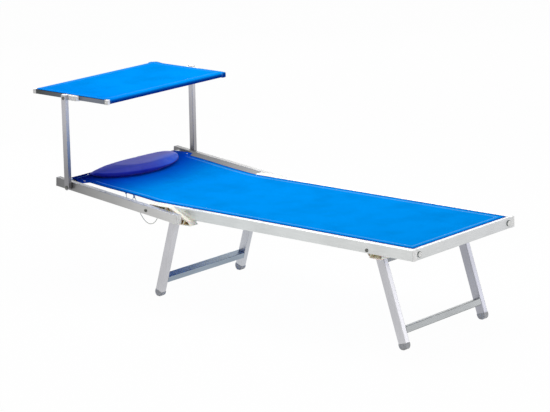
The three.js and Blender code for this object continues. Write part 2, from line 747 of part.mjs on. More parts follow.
function roofTube(x) {
  const end = roofInner - gap;
  return pipeY(roofTubeRadius, roofTubeWall, -end, end, x, 0);
}

// Tee fitting between the arm and the side rail, with a lip under the rail
function roofTee() {
  const half = roofRailHeight / 2 + teeOver;
  const side = roundedShape(-teeHeadReach, -half, teeFootReach, half, roofCorner);
  const body = plate(side, -armInner + gap, -roofOuter - gap);
  const lipStart = -roofOuter - gap - teeLip;
  const lip = block(-teeHeadReach + roofCorner, teeFootReach - roofCorner, lipStart, -roofInner,
    -half - teeLip + teeOver, -roofRailHeight / 2 - gap);
  return cut(join(body, lip), bore(-armOuter, -roofOuter + overrun, 0, 0));
}

// Roof cloth: one sagging sheet over the side rails, with a sleeve round each cross tube
const roofClothSteps = 8;

function roofCloth() {
  const x0 = -roofHeadReach + roofTubeInset;
  const x1 = roofFootReach - roofTubeInset;
  const ringInner = roofTubeRadius + sleeveLooseness;
  const ringOuter = ringInner + roofClothThickness;
  const railLevel = roofRailHeight / 2 + gap;
  const sleeveLevel = ringOuter - roofClothThickness;
  const dropLength = roofCapLength - roofTubeInset;
  const level = (x, y) => {
    const toTube = Math.min(x - x0, x1 - x);
    const near = THREE.MathUtils.smoothstep(toTube, 0, dropLength);
    const along = Math.max(toTube - dropLength, 0) / ((x1 - x0) / 2 - dropLength);
    const across = Math.max(1 - Math.abs(y) / roofInner, 0);
    const hang = (1 - Math.pow(1 - along, 2)) * (1 - Math.pow(1 - across, 3));
    return sleeveLevel + (railLevel - sleeveLevel) * near - roofSag * hang;
  };
  const xs = [x0, x0 + dropLength / 2, x0 + dropLength];
  for (let i = 1; i < roofClothSteps; i += 1) {
    xs.push(x0 + dropLength + (x1 - x0 - dropLength * 2) * i / roofClothSteps);
  }
  xs.push(x1 - dropLength, x1 - dropLength / 2, x1);
  const ys = [-roofOuter, -roofInner];
  for (let j = 1; j < roofClothSteps; j += 1) {
    ys.push(-roofInner + roofInner * 2 * j / roofClothSteps);
  }
  ys.push(roofInner, roofOuter);
  const sheet = solid(sheetGeometry(xs, ys, level, roofClothThickness));
  const cornerStart = roofInner - gap;
  const cornerEnd = roofOuter + overrun;
  const corner = (a, b) => both(block(a, b, -cornerEnd, -cornerStart, 0, roofRailHeight));
  const corners = [corner(x0 - overrun, x0 + dropLength + gap), corner(x1 - dropLength - gap, x1 + overrun)];
  const sleeveEnd = cornerStart - gap;
  const sleeves = [x0, x1].map((x) => pipeY(ringOuter, roofClothThickness, -sleeveEnd, sleeveEnd, x, 0));
  return join(cut(sheet, ...corners), ...sleeves);
}

// Closed sheet over a grid of x and y places: underside at level(x, y), top one thickness above
function sheetGeometry(xs, ys, level, thickness) {
  const positions = [];
  const faces = [];
  for (const lift of [0, thickness]) {
    xs.forEach((x) => ys.forEach((y) => positions.push(x, y, level(x, y) + lift)));
  }
  const count = xs.length * ys.length;
  const at = (i, j, layer) => layer * count + i * ys.length + j;
  const quad = (a, b, c, d) => faces.push(a, b, c, a, c, d);
  for (let i = 0; i + 1 < xs.length; i += 1) {
    for (let j = 0; j + 1 < ys.length; j += 1) {
      quad(at(i, j, 1), at(i + 1, j, 1), at(i + 1, j + 1, 1), at(i, j + 1, 1));
      quad(at(i, j, 0), at(i, j + 1, 0), at(i + 1, j + 1, 0), at(i + 1, j, 0));
    }
    const last = ys.length - 1;
    quad(at(i, 0, 0), at(i + 1, 0, 0), at(i + 1, 0, 1), at(i, 0, 1));
    quad(at(i + 1, last, 0), at(i, last, 0), at(i, last, 1), at(i + 1, last, 1));
  }
  for (let j = 0; j + 1 < ys.length; j += 1) {
    const last = xs.length - 1;
    quad(at(0, j + 1, 0), at(0, j, 0), at(0, j, 1), at(0, j + 1, 1));
    quad(at(last, j, 0), at(last, j + 1, 0), at(last, j + 1, 1), at(last, j, 1));
  }
  const geometry = new THREE.BufferGeometry();
  geometry.setAttribute('position', new THREE.Float32BufferAttribute(positions, 3));
  geometry.setIndex(faces);
  return geometry;
}

function cord(points, steps) {
  const path = new THREE.CatmullRomCurve3(points.map(([x, y, z]) => new THREE.Vector3(x, y, z)));
  const section = shapeOf(arcPoints(0, 0, cordRadius, 0, 360, cordSides).slice(1));
  const geometry = new THREE.ExtrudeGeometry(section, { steps, extrudePath: path, bevelEnabled: false });
  return solid(geometry);
}

// Seat frame
showPair('seat_rail', sideRail(), seat, 'frame');
show('foot_rail', footRail(), seat, 'frame');
showPair('foot_corner', footCorner(), seat, 'white');
showPair('foot_end_plug', footPlug(), seat, 'white');
showPair('recline_joint', reclineJoint(), seat, 'nylon');
showPair('foot_leg_bracket', footBracket(), seat, 'nylon');
showPair('head_leg_bracket', headBracket(), seat, 'nylon');
const axleEnd = legOuter + axleSeat;
const axle = pipeY(axleRadius, tubeWall, -axleEnd, axleEnd, -headLegReach, legPivotHeight);
show('head_leg_axle', axle, seat, 'frame');
const footLegBolt = boltY(seatOuter, legInner, boltTail, -footLegReach, legPivotHeight);
showPair('foot_leg_bolt', footLegBolt, seat, 'steel');
show('seat_sling', seatSling(), seat, 'cloth');

// Backrest
backrest.position.set(-seatLength, 0, pivotHeight);
backrest.rotation.y = radians(backIncline);
seat.add(backrest);
showPair('back_rail', backRail(), backrest, 'frame');
showPair('back_rail_head_cap', backCap(-backReach, -backReach + endCapThickness, 1), backrest, 'shoe');
showPair('back_rail_foot_cap', backCap(backTail - endCapThickness, backTail, -1), backrest, 'white');
showPair('recline_bolt', boltY(backOuter, jointInner, boltTail + nutHeight, 0, 0), backrest, 'steel');
const headTubeEnd = backOuter - railWall - gap;
const headTube = pipeY(headTubeRadius, tubeWall, -headTubeEnd, headTubeEnd, -headTubeReach, headTubeRise);
show('head_tube', headTube, backrest, 'frame');
show('back_sling', backSling(), backrest, 'cloth');
const pillowSeat = new THREE.Group();
const pillowFall = (pillowReach - bendClearance) * Math.tan(sheetFall);
pillowSeat.position.set(-pillowReach, 0, bendHeight + clothThickness + gap - pillowFall);
pillowSeat.rotation.y = -sheetFall;
backrest.add(pillowSeat);
show('pillow', pillow(), pillowSeat, 'pillow');
const spacer = cut(rodY(spacerRadius, -armInner + gap, -backOuter - gap, -armReach, armRise),
  bore(-armInner, -backOuter, -armReach, armRise));
showPair('arm_spacer', spacer, backrest, 'white');
showPair('arm_pivot_bolt', boltY(armOuter, backInner, 0, -armReach, armRise), backrest, 'steel');
show('tie_cord', cord(cordPoints, cordSteps), seat, 'cord');

// Canopy arms
arms.position.set(-armReach, 0, armRise);
arms.rotation.y = radians(armLean - backIncline);
backrest.add(arms);
showPair('canopy_arm', canopyArm(), arms, 'frame');

// Canopy roof
roof.position.set(0, 0, armLength);
roof.rotation.y = radians(roofFall - armLean);
arms.add(roof);
showPair('roof_rail', roofRail(), roof, 'frame');
showPair('roof_cap_head', roofCap(-roofHeadReach, -roofHeadReach + roofCapLength, 1), roof, 'white');
showPair('roof_cap_foot', roofCap(roofFootReach - roofCapLength, roofFootReach, -1), roof, 'white');
show('roof_tube_head', roofTube(-roofHeadReach + roofTubeInset), roof, 'frame');
show('roof_tube_foot', roofTube(roofFootReach - roofTubeInset), roof, 'frame');
showPair('roof_tee', roofTee(), roof, 'white');
showPair('roof_pivot_bolt', boltY(armOuter, roofInner, 0, 0, 0), roof, 'steel');
show('roof_cloth', roofCloth(), roof, 'cloth');

// Head legs
headLegs.position.set(-headLegReach, 0, legPivotHeight);
headLegs.rotation.y = radians(headLegLean);
seat.add(headLegs);
const headLegLength = legReach(headLegLean) + legWidth / 2;
const headBarDrop = (legPivotHeight - headBarHeight) / Math.cos(radians(headLegLean));
showPair('head_leg', legTube(headLegLength, axleRadius + gap), headLegs, 'legs');
showPair('head_leg_shoe', legShoe(headLegLean, -1), headLegs, 'shoe');
show('head_leg_bar', crossBar(headBarDrop), headLegs, 'legs');

// Foot legs
footLegs.position.set(-footLegReach, 0, legPivotHeight);
footLegs.rotation.y = -radians(footLegLean);
seat.add(footLegs);
const footLegLength = legReach(footLegLean) + legWidth / 2;
const footBarDrop = (legPivotHeight - footBarHeight) / Math.cos(radians(footLegLean));
showPair('foot_leg', legTube(footLegLength, boltRadius + boltClearance), footLegs, 'legs');
showPair('foot_leg_shoe', legShoe(footLegLean, 1), footLegs, 'shoe');
show('foot_leg_bar', crossBar(footBarDrop), footLegs, 'legs');
show('foot_leg_top_bar', crossBar(topBarDrop), footLegs, 'legs');

// The origin is on the floor under the middle of the whole object
lounger.updateMatrixWorld(true);
const bounds = new THREE.Box3().setFromObject(lounger, true);
seat.position.x = -(bounds.min.x + bounds.max.x) / 2;

export default lounger;
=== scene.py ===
"""Looks of a folding sun lounger with a sling, a half-moon pillow and a tilting canopy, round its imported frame."""
import json
import math

import bmesh
import bpy
import numpy as np
from mathutils import Matrix, Vector


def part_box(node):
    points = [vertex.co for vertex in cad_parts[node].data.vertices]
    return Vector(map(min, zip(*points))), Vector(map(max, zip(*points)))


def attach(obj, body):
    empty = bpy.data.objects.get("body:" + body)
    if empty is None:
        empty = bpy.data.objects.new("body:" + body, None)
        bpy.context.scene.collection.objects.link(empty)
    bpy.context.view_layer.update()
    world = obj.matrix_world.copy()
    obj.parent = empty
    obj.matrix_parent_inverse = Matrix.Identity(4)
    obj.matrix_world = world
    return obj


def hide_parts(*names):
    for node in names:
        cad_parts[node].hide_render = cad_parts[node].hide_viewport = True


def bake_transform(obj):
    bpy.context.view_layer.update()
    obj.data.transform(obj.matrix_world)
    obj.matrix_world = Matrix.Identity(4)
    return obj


bl_info = {
    "name": "Sun Lounger Finish",
    "version": (1, 1, 0),
    "blender": (4, 5, 0),
    "location": "3D View > Sidebar > Lounger",
    "description": "Makes the cloth, pillow, cord, fasteners and finishes of a folding sun lounger",
    "category": "Object",
}

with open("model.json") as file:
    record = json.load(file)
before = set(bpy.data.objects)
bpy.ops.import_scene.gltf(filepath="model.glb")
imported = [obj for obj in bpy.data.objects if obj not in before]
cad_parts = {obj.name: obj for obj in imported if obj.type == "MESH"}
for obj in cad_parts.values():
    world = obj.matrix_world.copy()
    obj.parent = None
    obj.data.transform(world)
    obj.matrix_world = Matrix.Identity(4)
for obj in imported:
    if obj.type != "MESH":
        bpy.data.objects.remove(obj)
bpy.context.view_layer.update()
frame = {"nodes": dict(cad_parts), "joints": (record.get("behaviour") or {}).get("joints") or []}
JOINTS = {joint["name"]: Vector(joint["pos_m"]) for joint in frame["joints"]}
RECLINE = JOINTS["backrest_recline"]
SWING = JOINTS["canopy_swing"]
TILT = JOINTS["canopy_tilt"]
SIDES = (("right", -1), ("left", 1))

# Seat cloth and backrest, in metres and radians, as in the solids
SEAT_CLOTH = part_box("seat_sling")
SEAT_LEVEL = SEAT_CLOTH[1].z - 0.0008
FOOT_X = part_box("foot_corner_right")[1].x
INCLINE = math.radians(5.6)
HEAD_REACH, HEAD_RISE = 0.497, 0.001
SLEEVE_RADIUS = 0.0137
SHEET_START, SHEET_RISE = 0.018, 0.0199
SHEET_FALL = math.radians(0.62)
# Half the sling's width at places along the backrest: it flares a little, and its two flaps reach for the rails
SLING_HALF = (
    (0.0, 0.2895), (0.119, 0.2885), (0.2, 0.292), (0.281, 0.297), (0.34, 0.299), (0.396, 0.2985),
    (0.403, 0.312), (0.411, 0.3305), (0.439, 0.3285), (0.461, 0.3155), (0.497, 0.3035),
)

# Depth of the sling's hollow between its edges, how far the hem stands proud, and how far its edge rolls under
SLING_HOLLOW, HEM_PROUD, EDGE_ROLL = 0.0022, 0.0005, 0.0012

# Pillow
PILLOW_REACH = 0.455
PILLOW_WIDTH, PILLOW_DEPTH, PILLOW_HEIGHT, PILLOW_SEAM = 0.518, 0.155, 0.047, 0.015
PILLOW_CENTRE = 0.42
# Across places between which its left end's lower filling and lighter painted sheen set in
PILLOW_LEFT = (-0.06, 0.2)
# Share of the blown height that is left once the filling has settled, and how much less it is at the left end
PILLOW_SETTLED, PILLOW_LESS = 0.86, 0.08
PIPING_RADIUS = 0.0017

# Roof
ROOF_FALL = math.radians(0.5)
ROOF_HEAD, ROOF_FOOT = -0.215, 0.219
ROOF_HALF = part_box("roof_cloth")[1].y
ROOF_SLEEVE_HALF = 0.3338
ROOF_RING = 0.0092
# Depth of its hollow, rise onto the rails, bulge at a head corner, and height of the pull lines and of the hem
ROOF_HOLLOW, ROOF_RISE, ROOF_BULGE, ROOF_PULL, ROOF_HEM = 0.0052, 0.0014, 0.0034, 0.0006, 0.0006
# Seam's distance from the roof's edge
ROOF_SEAM = 0.02
# On the left the cloth covers the corner caps: its edge, and half its section's side there
ROOF_LEFT, ROOF_COVER = 0.3506, 0.0108

# The cord's route, in millimetres from the foot end: its solid's, a little wider at the arch
CORD_ROUTE = (
    (-1545, -286.5, 428.4), (-1544.8, -286.4, 420), (-1542.5, -286.2, 410), (-1537, -286, 402),
    (-1529, -286, 397.6), (-1520.5, -286, 397), (-1512.8, -286, 400), (-1508.8, -286.2, 406),
    (-1506.6, -286.3, 412), (-1503.2, -286.5, 416.6), (-1498.3, -286.5, 418.6), (-1493.4, -286.5, 416.4),
    (-1490.4, -286.3, 411.4), (-1489, -286.1, 403), (-1487.2, -285.9, 392), (-1482, -285.6, 379),
    (-1474, -285.3, 364), (-1464, -285, 347.5), (-1452, -284.6, 332.5), (-1437, -284.2, 320.5),
    (-1420, -283.8, 315), (-1403.5, -283.4, 317.2), (-1388.5, -283, 325.5), (-1376.5, -282.8, 338.5),
    (-1367.5, -282.7, 354), (-1360.5, -282.7, 370), (-1355.8, -282.7, 383), (-1354.2, -282.7, 390),
    (-1354, -282.7, 393.6),
)
CORD_RADIUS = 0.0015
# Distance along it from one of its three strands to the next, a third of their full turn
STRAND_PITCH = 0.003
# Tape loops that hold it: half width, radius of the bend and thickness
LOOP_HALF, LOOP_BEND, LOOP_TAPE = 0.002, 0.0026, 0.0007

# Stitches: distance between them, their length, half width and half height, and how far they stand over the cloth
STITCH_PITCH, STITCH_SIZE, STITCH_LIFT = 0.0065, (0.0046, 0.0008, 0.0009), 0.0007

# The canopy arm's lean from upright, and its length from the pivot to the top
ARM_LEAN, ARM_REACH = math.radians(2.1), 0.3949

# Share of the floor that the camera sees as white; the rest keeps the shadow
FLOOR_WHITE = 0.98
# The die lines' dark tone, as a share of the light one
DARK_SHARE = 0.84
# Finishes of the solids, by the starts of their names
NODE_FINISHES = {
    "rail": "seat_rail",
    "cross": "foot_rail head_tube head_leg_axle roof_tube",
    "back": "back_rail",
    "arm": "canopy_arm",
    "roof": "roof_rail",
    "foot leg": "foot_leg",
    "head leg": "head_leg",
    "foot bar": "foot_leg_bar foot_leg_top_bar",
    "head bar": "head_leg_bar",
    "nylon": "recline_joint",
    "bracket": "foot_leg_bracket head_leg_bracket",
    "white": "foot_corner foot_end_plug back_rail_foot_cap roof_cap roof_tee",
    "grey": "back_rail_head_cap arm_spacer head_leg_shoe foot_leg_shoe",
    "steel": "foot_leg_bolt recline_bolt arm_pivot_bolt roof_pivot_bolt",
}


def linear(hex_value):
    """Turns an sRGB hex colour into linear red, green, blue and a full alpha."""
    channels = [int(hex_value[i : i + 2], 16) / 255 for i in (1, 3, 5)]
    return (*[c / 12.92 if c <= 0.04045 else ((c + 0.055) / 1.055) ** 2.4 for c in channels], 1.0)


def node(tree, kind, inputs=None, stops=(), **settings):
    """Adds one shader node with its settings, its values and its links, and returns its outputs."""
    made = tree.nodes.new("ShaderNode" + kind)
    for key, value in settings.items():
        setattr(made, key, value)
    for key, value in (inputs or {}).items():
        if isinstance(value, bpy.types.NodeSocket):
            tree.links.new(value, made.inputs[key])
        else:
            made.inputs[key].default_value = value
    if stops:
        bands = made.color_ramp.elements
        bands.remove(bands[1])
        bands[0].position, bands[0].color = stops[0]
        for place, colour in stops[1:]:
            bands.new(place).color = colour
    return made.outputs


def finished(name, finish, *details):
    """A new material: the shader that a finish makes from its details, in which text is an sRGB hex colour."""
    made = bpy.data.materials.new(name)
    made.use_nodes = True
    made.node_tree.nodes.clear()
    details = [linear(detail) if isinstance(detail, str) else detail for detail in details]
    node(made.node_tree, "OutputMaterial", {"Surface": finish(made.node_tree, *details)})
    return made


def sling_cloth(tree, shades, hem, seam, spacing):
    """PVC-coated polyester mesh, woven two by two: matt, even and bright.

    It is darker along its hems, where it is sewn double and where painted shadow marks its turn into the slots
    and round the roof's foot tube. The shade attribute paints shade into its blue: on the sling it deepens towards
    the head, under the canopy and the pillow, and on the roof it deepens towards its right edge. The real threads are
    1 mm apart, too fine to show, so the weave is drawn at the given spacing."""
    uv = node(tree, "UVMap", uv_map="cloth")["UV"]
    turns = 2 * math.pi / spacing
    threads = node(tree, "VectorMath", {0: uv, 1: (turns, turns, 0)}, operation="MULTIPLY")[0]
    waves = node(tree, "VectorMath", {0: threads}, operation="SINE")[0]
    wave = node(tree, "SeparateXYZ", {0: waves})
    weave = node(tree, "Math", {0: wave[0], 1: wave[1]}, operation="MULTIPLY")[0]
    place = node(tree, "TexCoord")["Object"]
    patches = node(tree, "TexNoise", {"Vector": place, "Scale": 8, "Detail": 2.0})[0]
    tone = node(tree, "Math", {0: weave, 1: 0.12, 2: patches}, operation="MULTIPLY_ADD")[0]
    light = node(tree, "ValToRGB", {"Fac": tone}, [(0.25, linear("#eeeeee")), (0.6, linear("#ffffff"))])[0]
    # Painted shade: the shade attribute picks a deeper blue where the cloth lies in shade
    shade = node(tree, "Attribute", attribute_name="shade")["Fac"]
    painted_shade_ramp = node(tree, "ValToRGB", {"Fac": shade}, shades)[0]
    body = node(tree, "Mix", {0: 1.0, 6: painted_shade_ramp, 7: light}, data_type="RGBA", blend_type="MULTIPLY")[2]
    # Hem band: the cloth is sewn double there, and its darker tone is also painted shadow along the edge
    hem_and_painted_shadow = node(tree, "Attribute", attribute_name="hem")["Fac"]
    hemmed = node(tree, "Mix", {0: hem_and_painted_shadow, 6: body, 7: hem}, data_type="RGBA")[2]
    sewn = node(tree, "Attribute", attribute_name="seam")["Fac"]
    colour = node(tree, "Mix", {0: sewn, 6: hemmed, 7: seam}, data_type="RGBA")[2]
    bump = node(tree, "Bump", {"Strength": 0.25, "Distance": 0.0004, "Height": weave})[0]
    return node(tree, "BsdfPrincipled", {
        "Base Color": colour, "Roughness": 0.8, "Specular IOR Level": 0.0, "Normal": bump})[0]


def pillow_cloth(tree, crown, edge, front, left):
    """Satin-woven polyester cover with painted light: a painted violet sheen on the crown, and painted shade, a deeper
    blue, on the side that faces the seat.

    The painted sheen turns from violet to a lighter blue towards the left end."""
    panel = node(tree, "Attribute", attribute_name="crown")["Fac"]
    place = node(tree, "TexCoord")["Object"]
    creases = node(tree, "TexNoise", {"Vector": place, "Scale": 16, "Detail": 2.0})[0]
    tone = node(tree, "Math", {0: creases, 1: 0.12, 2: panel}, operation="MULTIPLY_ADD")[0]
    colour = node(tree, "ValToRGB", {"Fac": tone}, [(0.2, front), (0.55, edge), (0.9, crown)])[0]
    painted_light_left = node(tree, "Attribute", attribute_name="left")["Fac"]
    colour = node(tree, "Mix", {0: painted_light_left, 6: colour, 7: left}, data_type="RGBA")[2]
    wrinkles = node(tree, "TexNoise", {"Vector": place, "Scale": 40, "Detail": 3.0})[0]
    bump = node(tree, "Bump", {"Strength": 0.35, "Distance": 0.002, "Height": wrinkles})[0]
    return node(tree, "BsdfPrincipled", {
        "Base Color": colour, "Roughness": 0.55, "Specular IOR Level": 0.2, "Sheen Weight": 0.2,
        "Sheen Roughness": 0.4, "Sheen Tint": linear("#b9a8ff"), "Normal": bump})[0]


def anodised_aluminium(tree, light, roughness, along, axis, deepest, full, tint):
    """Satin anodised aluminium extrusion: pale grey metal with faint die lines along the profile.

    Real die lines are under 0.1 mm apart; they are drawn 3 mm wide so that they show. Painted shade deepens the tone
    along the given axis, from the light tone at the full place to that tone times the tint at the deepest place."""
    dark = (*[channel * DARK_SHARE for channel in light[:3]], 1.0)
    place = node(tree, "TexCoord")["Object"]
    stretch = [0.04 if axis == along else 1.0 for axis in range(3)]
    mapped = node(tree, "Mapping", {"Vector": place, "Scale": stretch})[0]
    lines = node(tree, "TexNoise", {"Vector": mapped, "Scale": 330, "Detail": 4.0})[0]
    cloud = node(tree, "TexNoise", {"Vector": place, "Scale": 7, "Detail": 2.0})[0]
    tone = node(tree, "Mix", {0: 0.45, 2: cloud, 3: lines})[0]
    colour = node(tree, "ValToRGB", {"Fac": tone}, [(0.3, dark), (0.62, light)])[0]
    run = node(tree, "SeparateXYZ", {0: place})[axis]
    share = node(tree, "MapRange", {"Value": run, "From Min": deepest, "From Max": full})[0]
    painted_shade_tint = node(tree, "Mix", {0: share, 6: (*tint, 1.0), 7: (1, 1, 1, 1)}, data_type="RGBA")[2]
    colour = node(tree, "Mix", {0: 1.0, 6: colour, 7: painted_shade_tint}, data_type="RGBA", blend_type="MULTIPLY")[2]
    rough = node(tree, "MapRange", {
        "Value": lines, "To Min": roughness - 0.05, "To Max": roughness + 0.06})[0]
    bump = node(tree, "Bump", {"Strength": 0.06, "Distance": 0.0003, "Height": lines})[0]
    return node(tree, "BsdfPrincipled", {
        "Base Color": colour, "Roughness": rough, "Metallic": 1.0, "Normal": bump})[0]


def moulded_plastic(tree, light, painted_pocket_shade, painted_deep_shade, roughness, translucent=0.0):
    """Injection-moulded nylon or polypropylene: even colour with a fine eroded grain, and painted shade that darkens it
    in pockets and corners.

    The real grain is about 0.3 mm; it is drawn 1.2 mm wide so that it shows."""
    place = node(tree, "TexCoord")["Object"]
    # Painted shade: ambient occlusion darkens the colour in pockets and corners
    open_air = node(tree, "AmbientOcclusion", {"Distance": 0.02}, samples=8, only_local=True)["AO"]
    blush = node(tree, "TexNoise", {"Vector": place, "Scale": 50, "Detail": 2.0})[0]
    tone = node(tree, "Mix", {0: 0.15, 2: open_air, 3: blush})[0]
    colour = node(tree, "ValToRGB", {"Fac": tone}, [(0.15, painted_deep_shade), (0.35, painted_pocket_shade), (0.62, light)])[0]
    grain = node(tree, "TexNoise", {"Vector": place, "Scale": 830, "Detail": 3.0})[0]
    bump = node(tree, "Bump", {"Strength": 0.12, "Distance": 0.0002, "Height": grain})[0]
    return node(tree, "BsdfPrincipled", {
        "Base Color": colour, "Roughness": roughness, "Subsurface Weight": translucent,
        "Subsurface Scale": 0.004, "Normal": bump})[0]


def zinc_steel(tree, light, dark, roughness):
    """Zinc-plated steel: dull grey metal, slightly mottled by its crystals, which are drawn 4 mm wide to show."""
    place = node(tree, "TexCoord")["Object"]
    crystals = node(tree, "TexNoise", {"Vector": place, "Scale": 250, "Detail": 2.0})[0]
    colour = node(tree, "ValToRGB", {"Fac": crystals}, [(0.35, dark), (0.65, light)])[0]
    rough = node(tree, "MapRange", {
        "Value": crystals, "To Min": roughness + 0.08, "To Max": roughness - 0.08})[0]
    return node(tree, "BsdfPrincipled", {"Base Color": colour, "Roughness": rough, "Metallic": 1.0})[0]


def twisted_cord(tree, light, dark):
    """Three-strand polyester cord: matt strands 3 mm apart that wind slantwise round it, with painted shade in the
    grooves between them.
    """
    uv = node(tree, "UVMap", uv_map="cloth")["UV"]
    turns = (2 * math.pi, 2 * math.pi / STRAND_PITCH, 0)
    slant = node(tree, "VectorMath", {0: uv, 1: turns}, operation="DOT_PRODUCT")["Value"]
    wave = node(tree, "Math", {0: slant}, operation="SINE")[0]
    strands = node(tree, "Math", {0: wave, 1: 0.5, 2: 0.5}, operation="MULTIPLY_ADD")[0]
    colour = node(tree, "ValToRGB", {"Fac": strands}, [(0.1, dark), (0.7, light)])[0]
    bump = node(tree, "Bump", {"Strength": 0.6, "Distance": 0.0005, "Height": strands})[0]
    return node(tree, "BsdfPrincipled", {"Base Color": colour, "Roughness": 0.75, "Normal": bump})[0]


def sewing_thread(tree, light, dark):
    """Bonded polyester thread or satin piping: a little gloss, with light and dark turns of its twist 4 mm apart."""
    place = node(tree, "TexCoord")["Object"]
    twist = node(tree, "TexNoise", {"Vector": place, "Scale": 250, "Detail": 2.0})[0]
    colour = node(tree, "ValToRGB", {"Fac": twist}, [(0.3, dark), (0.7, light)])[0]
    return node(tree, "BsdfPrincipled", {
        "Base Color": colour, "Roughness": 0.6, "Specular IOR Level": 0.2})[0]


def mesh_object(name, vertices, faces):
    """A smooth mesh object at the origin from an array of points and an array of four-cornered faces."""
    mesh = bpy.data.meshes.new(name)
    vertices = np.ascontiguousarray(vertices, np.float32).reshape(-1, 3)
    faces = np.ascontiguousarray(faces, np.int32)
    mesh.vertices.add(len(vertices))
    mesh.vertices.foreach_set("co", vertices.ravel())
    mesh.loops.add(faces.size)
    mesh.loops.foreach_set("vertex_index", faces.ravel())
    mesh.polygons.add(len(faces))
    mesh.polygons.foreach_set("loop_start", np.arange(len(faces), dtype=np.int32) * faces.shape[1])
    mesh.update(calc_edges=True)
    mesh.validate()
    mesh.polygons.foreach_set("use_smooth", np.ones(len(mesh.polygons), bool))
    made = bpy.data.objects.new(name, mesh)
    bpy.context.scene.collection.objects.link(made)
    return made


def together(*measures):
    """Points from their measures, each broadcast to the same grid."""
    return np.stack(np.broadcast_arrays(*measures), -1)


def full_turn(count):
    """Even angles once round, in radians."""
    return np.linspace(0, 2 * np.pi, count, endpoint=False)


def unit(vectors):
    """The same directions at length 1, one in each row."""
    return vectors / np.linalg.norm(vectors, axis=1, keepdims=True)


def both_ways(share):
    """Places from the middle to one edge, and their mirror image before them."""
    return np.concatenate([-share[::-1], share[1:]])


def points_of(mesh):
    """A mesh's points, one in each row."""
    flat = np.zeros(len(mesh.vertices) * 3)
    mesh.vertices.foreach_get("co", flat)
    return flat.reshape(-1, 3)


def grid_faces(rows, columns, wrap_rows=False, wrap_columns=False):
    """Four-cornered faces of a grid of rows by columns, joined end to end where it wraps."""
    i = np.arange(rows if wrap_rows else rows - 1)[:, None]
    j = np.arange(columns if wrap_columns else columns - 1)[None, :]
    up, right = (i + 1) % rows, (j + 1) % columns
    corners = (i * columns + j, up * columns + j, up * columns + right, i * columns + right)
    return together(*corners).reshape(-1, 4)


def surface(name, points, wrap_rows=False, wrap_columns=False, flip=False):
    """A grid of points, rows by columns by three, as one mesh; flip turns its faces over."""
    faces = grid_faces(*points.shape[:2], wrap_rows, wrap_columns)
    return mesh_object(name, points, faces[:, ::-1] if flip else faces)


def closed(made, distance=1e-6):
    """Joins points that lie on each other, which closes poles, and turns the faces outward."""
    work = bmesh.new()
    work.from_mesh(made.data)
    bmesh.ops.remove_doubles(work, verts=work.verts, dist=distance)
    bmesh.ops.dissolve_degenerate(work, edges=work.edges, dist=distance / 10)
    bmesh.ops.recalc_face_normals(work, faces=work.faces)
    work.to_mesh(made.data)
    work.free()
    return made


def turned(profile, sides, centre, axis):
    """Points of a turned form: the radius and height of each profile place, swept round the axis at the centre."""
    angle = full_turn(sides)
    radius, height = np.asarray(profile, float).T[..., None]
    return placed(together(radius * np.cos(angle), radius * np.sin(angle), height), centre, axis)


def placed(local, centre, axis):
    """Points given round the Z axis, turned so that Z becomes the axis, and moved to the centre."""
    turn = np.array(Vector((0, 0, 1)).rotation_difference(Vector(axis)).to_matrix())
    return local @ turn.T + np.asarray(centre, float)


def carried(line, ring, up, wraps=False):
    """A ring carried along a line: each line point plus the ring's two measures along its side and over it."""
    ahead = unit(np.roll(line, -1, 0) - np.roll(line, 1, 0) if wraps else np.gradient(line, axis=0))
    side = unit(np.cross(ahead, np.asarray(up, float)))
    over = np.cross(side, ahead)
    return line[:, None] + ring[..., :1] * side[:, None] + ring[..., 1:] * over[:, None]


def round_ring(radius, count):
    """A circle's places, side and over."""
    angle = full_turn(count)
    return together(radius * np.cos(angle), radius * np.sin(angle))[None]


def put_map(made, u, v):
    """Writes one map value per vertex to the corners of every face, as the map named cloth."""
    layer = made.data.uv_layers.new(name="cloth")
    index = np.zeros(len(made.data.loops), np.int32)
    made.data.loops.foreach_get("vertex_index", index)
    values = np.stack([np.ravel(u), np.ravel(v)], -1)[index].astype(np.float32)
    layer.data.foreach_set("uv", values.ravel())


def put_attribute(made, name, values):
    """Writes one number per vertex."""
    layer = made.data.attributes.new(name, "FLOAT", "POINT")
    layer.data.foreach_set("value", np.ravel(values).astype(np.float32))


def thicken(made, thickness):
    """Gives a sheet its thickness evenly to both sides."""
    wall = made.modifiers.new("thickness", "SOLIDIFY")
    wall.thickness = thickness
    wall.offset = 0.0
    wall.use_even_offset = True


def smoothstep(value, low, high):
    """0 below low and 1 above high, with a smooth rise between."""
    t = np.clip((value - low) / (high - low), 0, 1)
    return t * t * (3 - 2 * t)


def path_length(points):
    """Running length along a line of points."""
    return np.concatenate([[0], np.cumsum(np.linalg.norm(np.diff(points, axis=0), axis=1))])


def arc(centre, radius, start, end, count):
    """Points of an arc in X and Z, by its angles in degrees."""
    angle = np.radians(np.linspace(start, end, count))
    return together(centre[0] + radius * np.cos(angle), centre[1] + radius * np.sin(angle))


def resample(points, places):
    """The line through points, taken at the given running lengths."""
    length = path_length(points)
    return np.stack([np.interp(places, length, points[:, k]) for k in range(points.shape[1])], -1)


def back_point(reach, rise):
    """X and Z on the backrest from the reach towards the head and the rise over the recline pivot, at rest."""
    x = RECLINE.x - reach * np.cos(INCLINE) + rise * np.sin(INCLINE)
    return together(x, RECLINE.z + reach * np.sin(INCLINE) + rise * np.cos(INCLINE))


def sheet_rise(reach):
    """Rise of the sling's middle over the recline pivot, at a reach on the backrest."""
    return SHEET_RISE - (reach - SHEET_START) * math.tan(SHEET_FALL)


def roof_point(along, rise):
    """X and Z on the roof from the place along it, foot side positive, and the rise over the rails' middle, at rest."""
    x = TILT.x + along * math.cos(ROOF_FALL) + rise * math.sin(ROOF_FALL)
    return x, TILT.z - along * math.sin(ROOF_FALL) + rise * math.cos(ROOF_FALL)


def colour_property(name, description, hex_value):
    """A colour that the sidebar shows."""
    return bpy.props.FloatVectorProperty(
        name=name, description=description, subtype="COLOR", size=4, min=0, max=1, default=linear(hex_value))


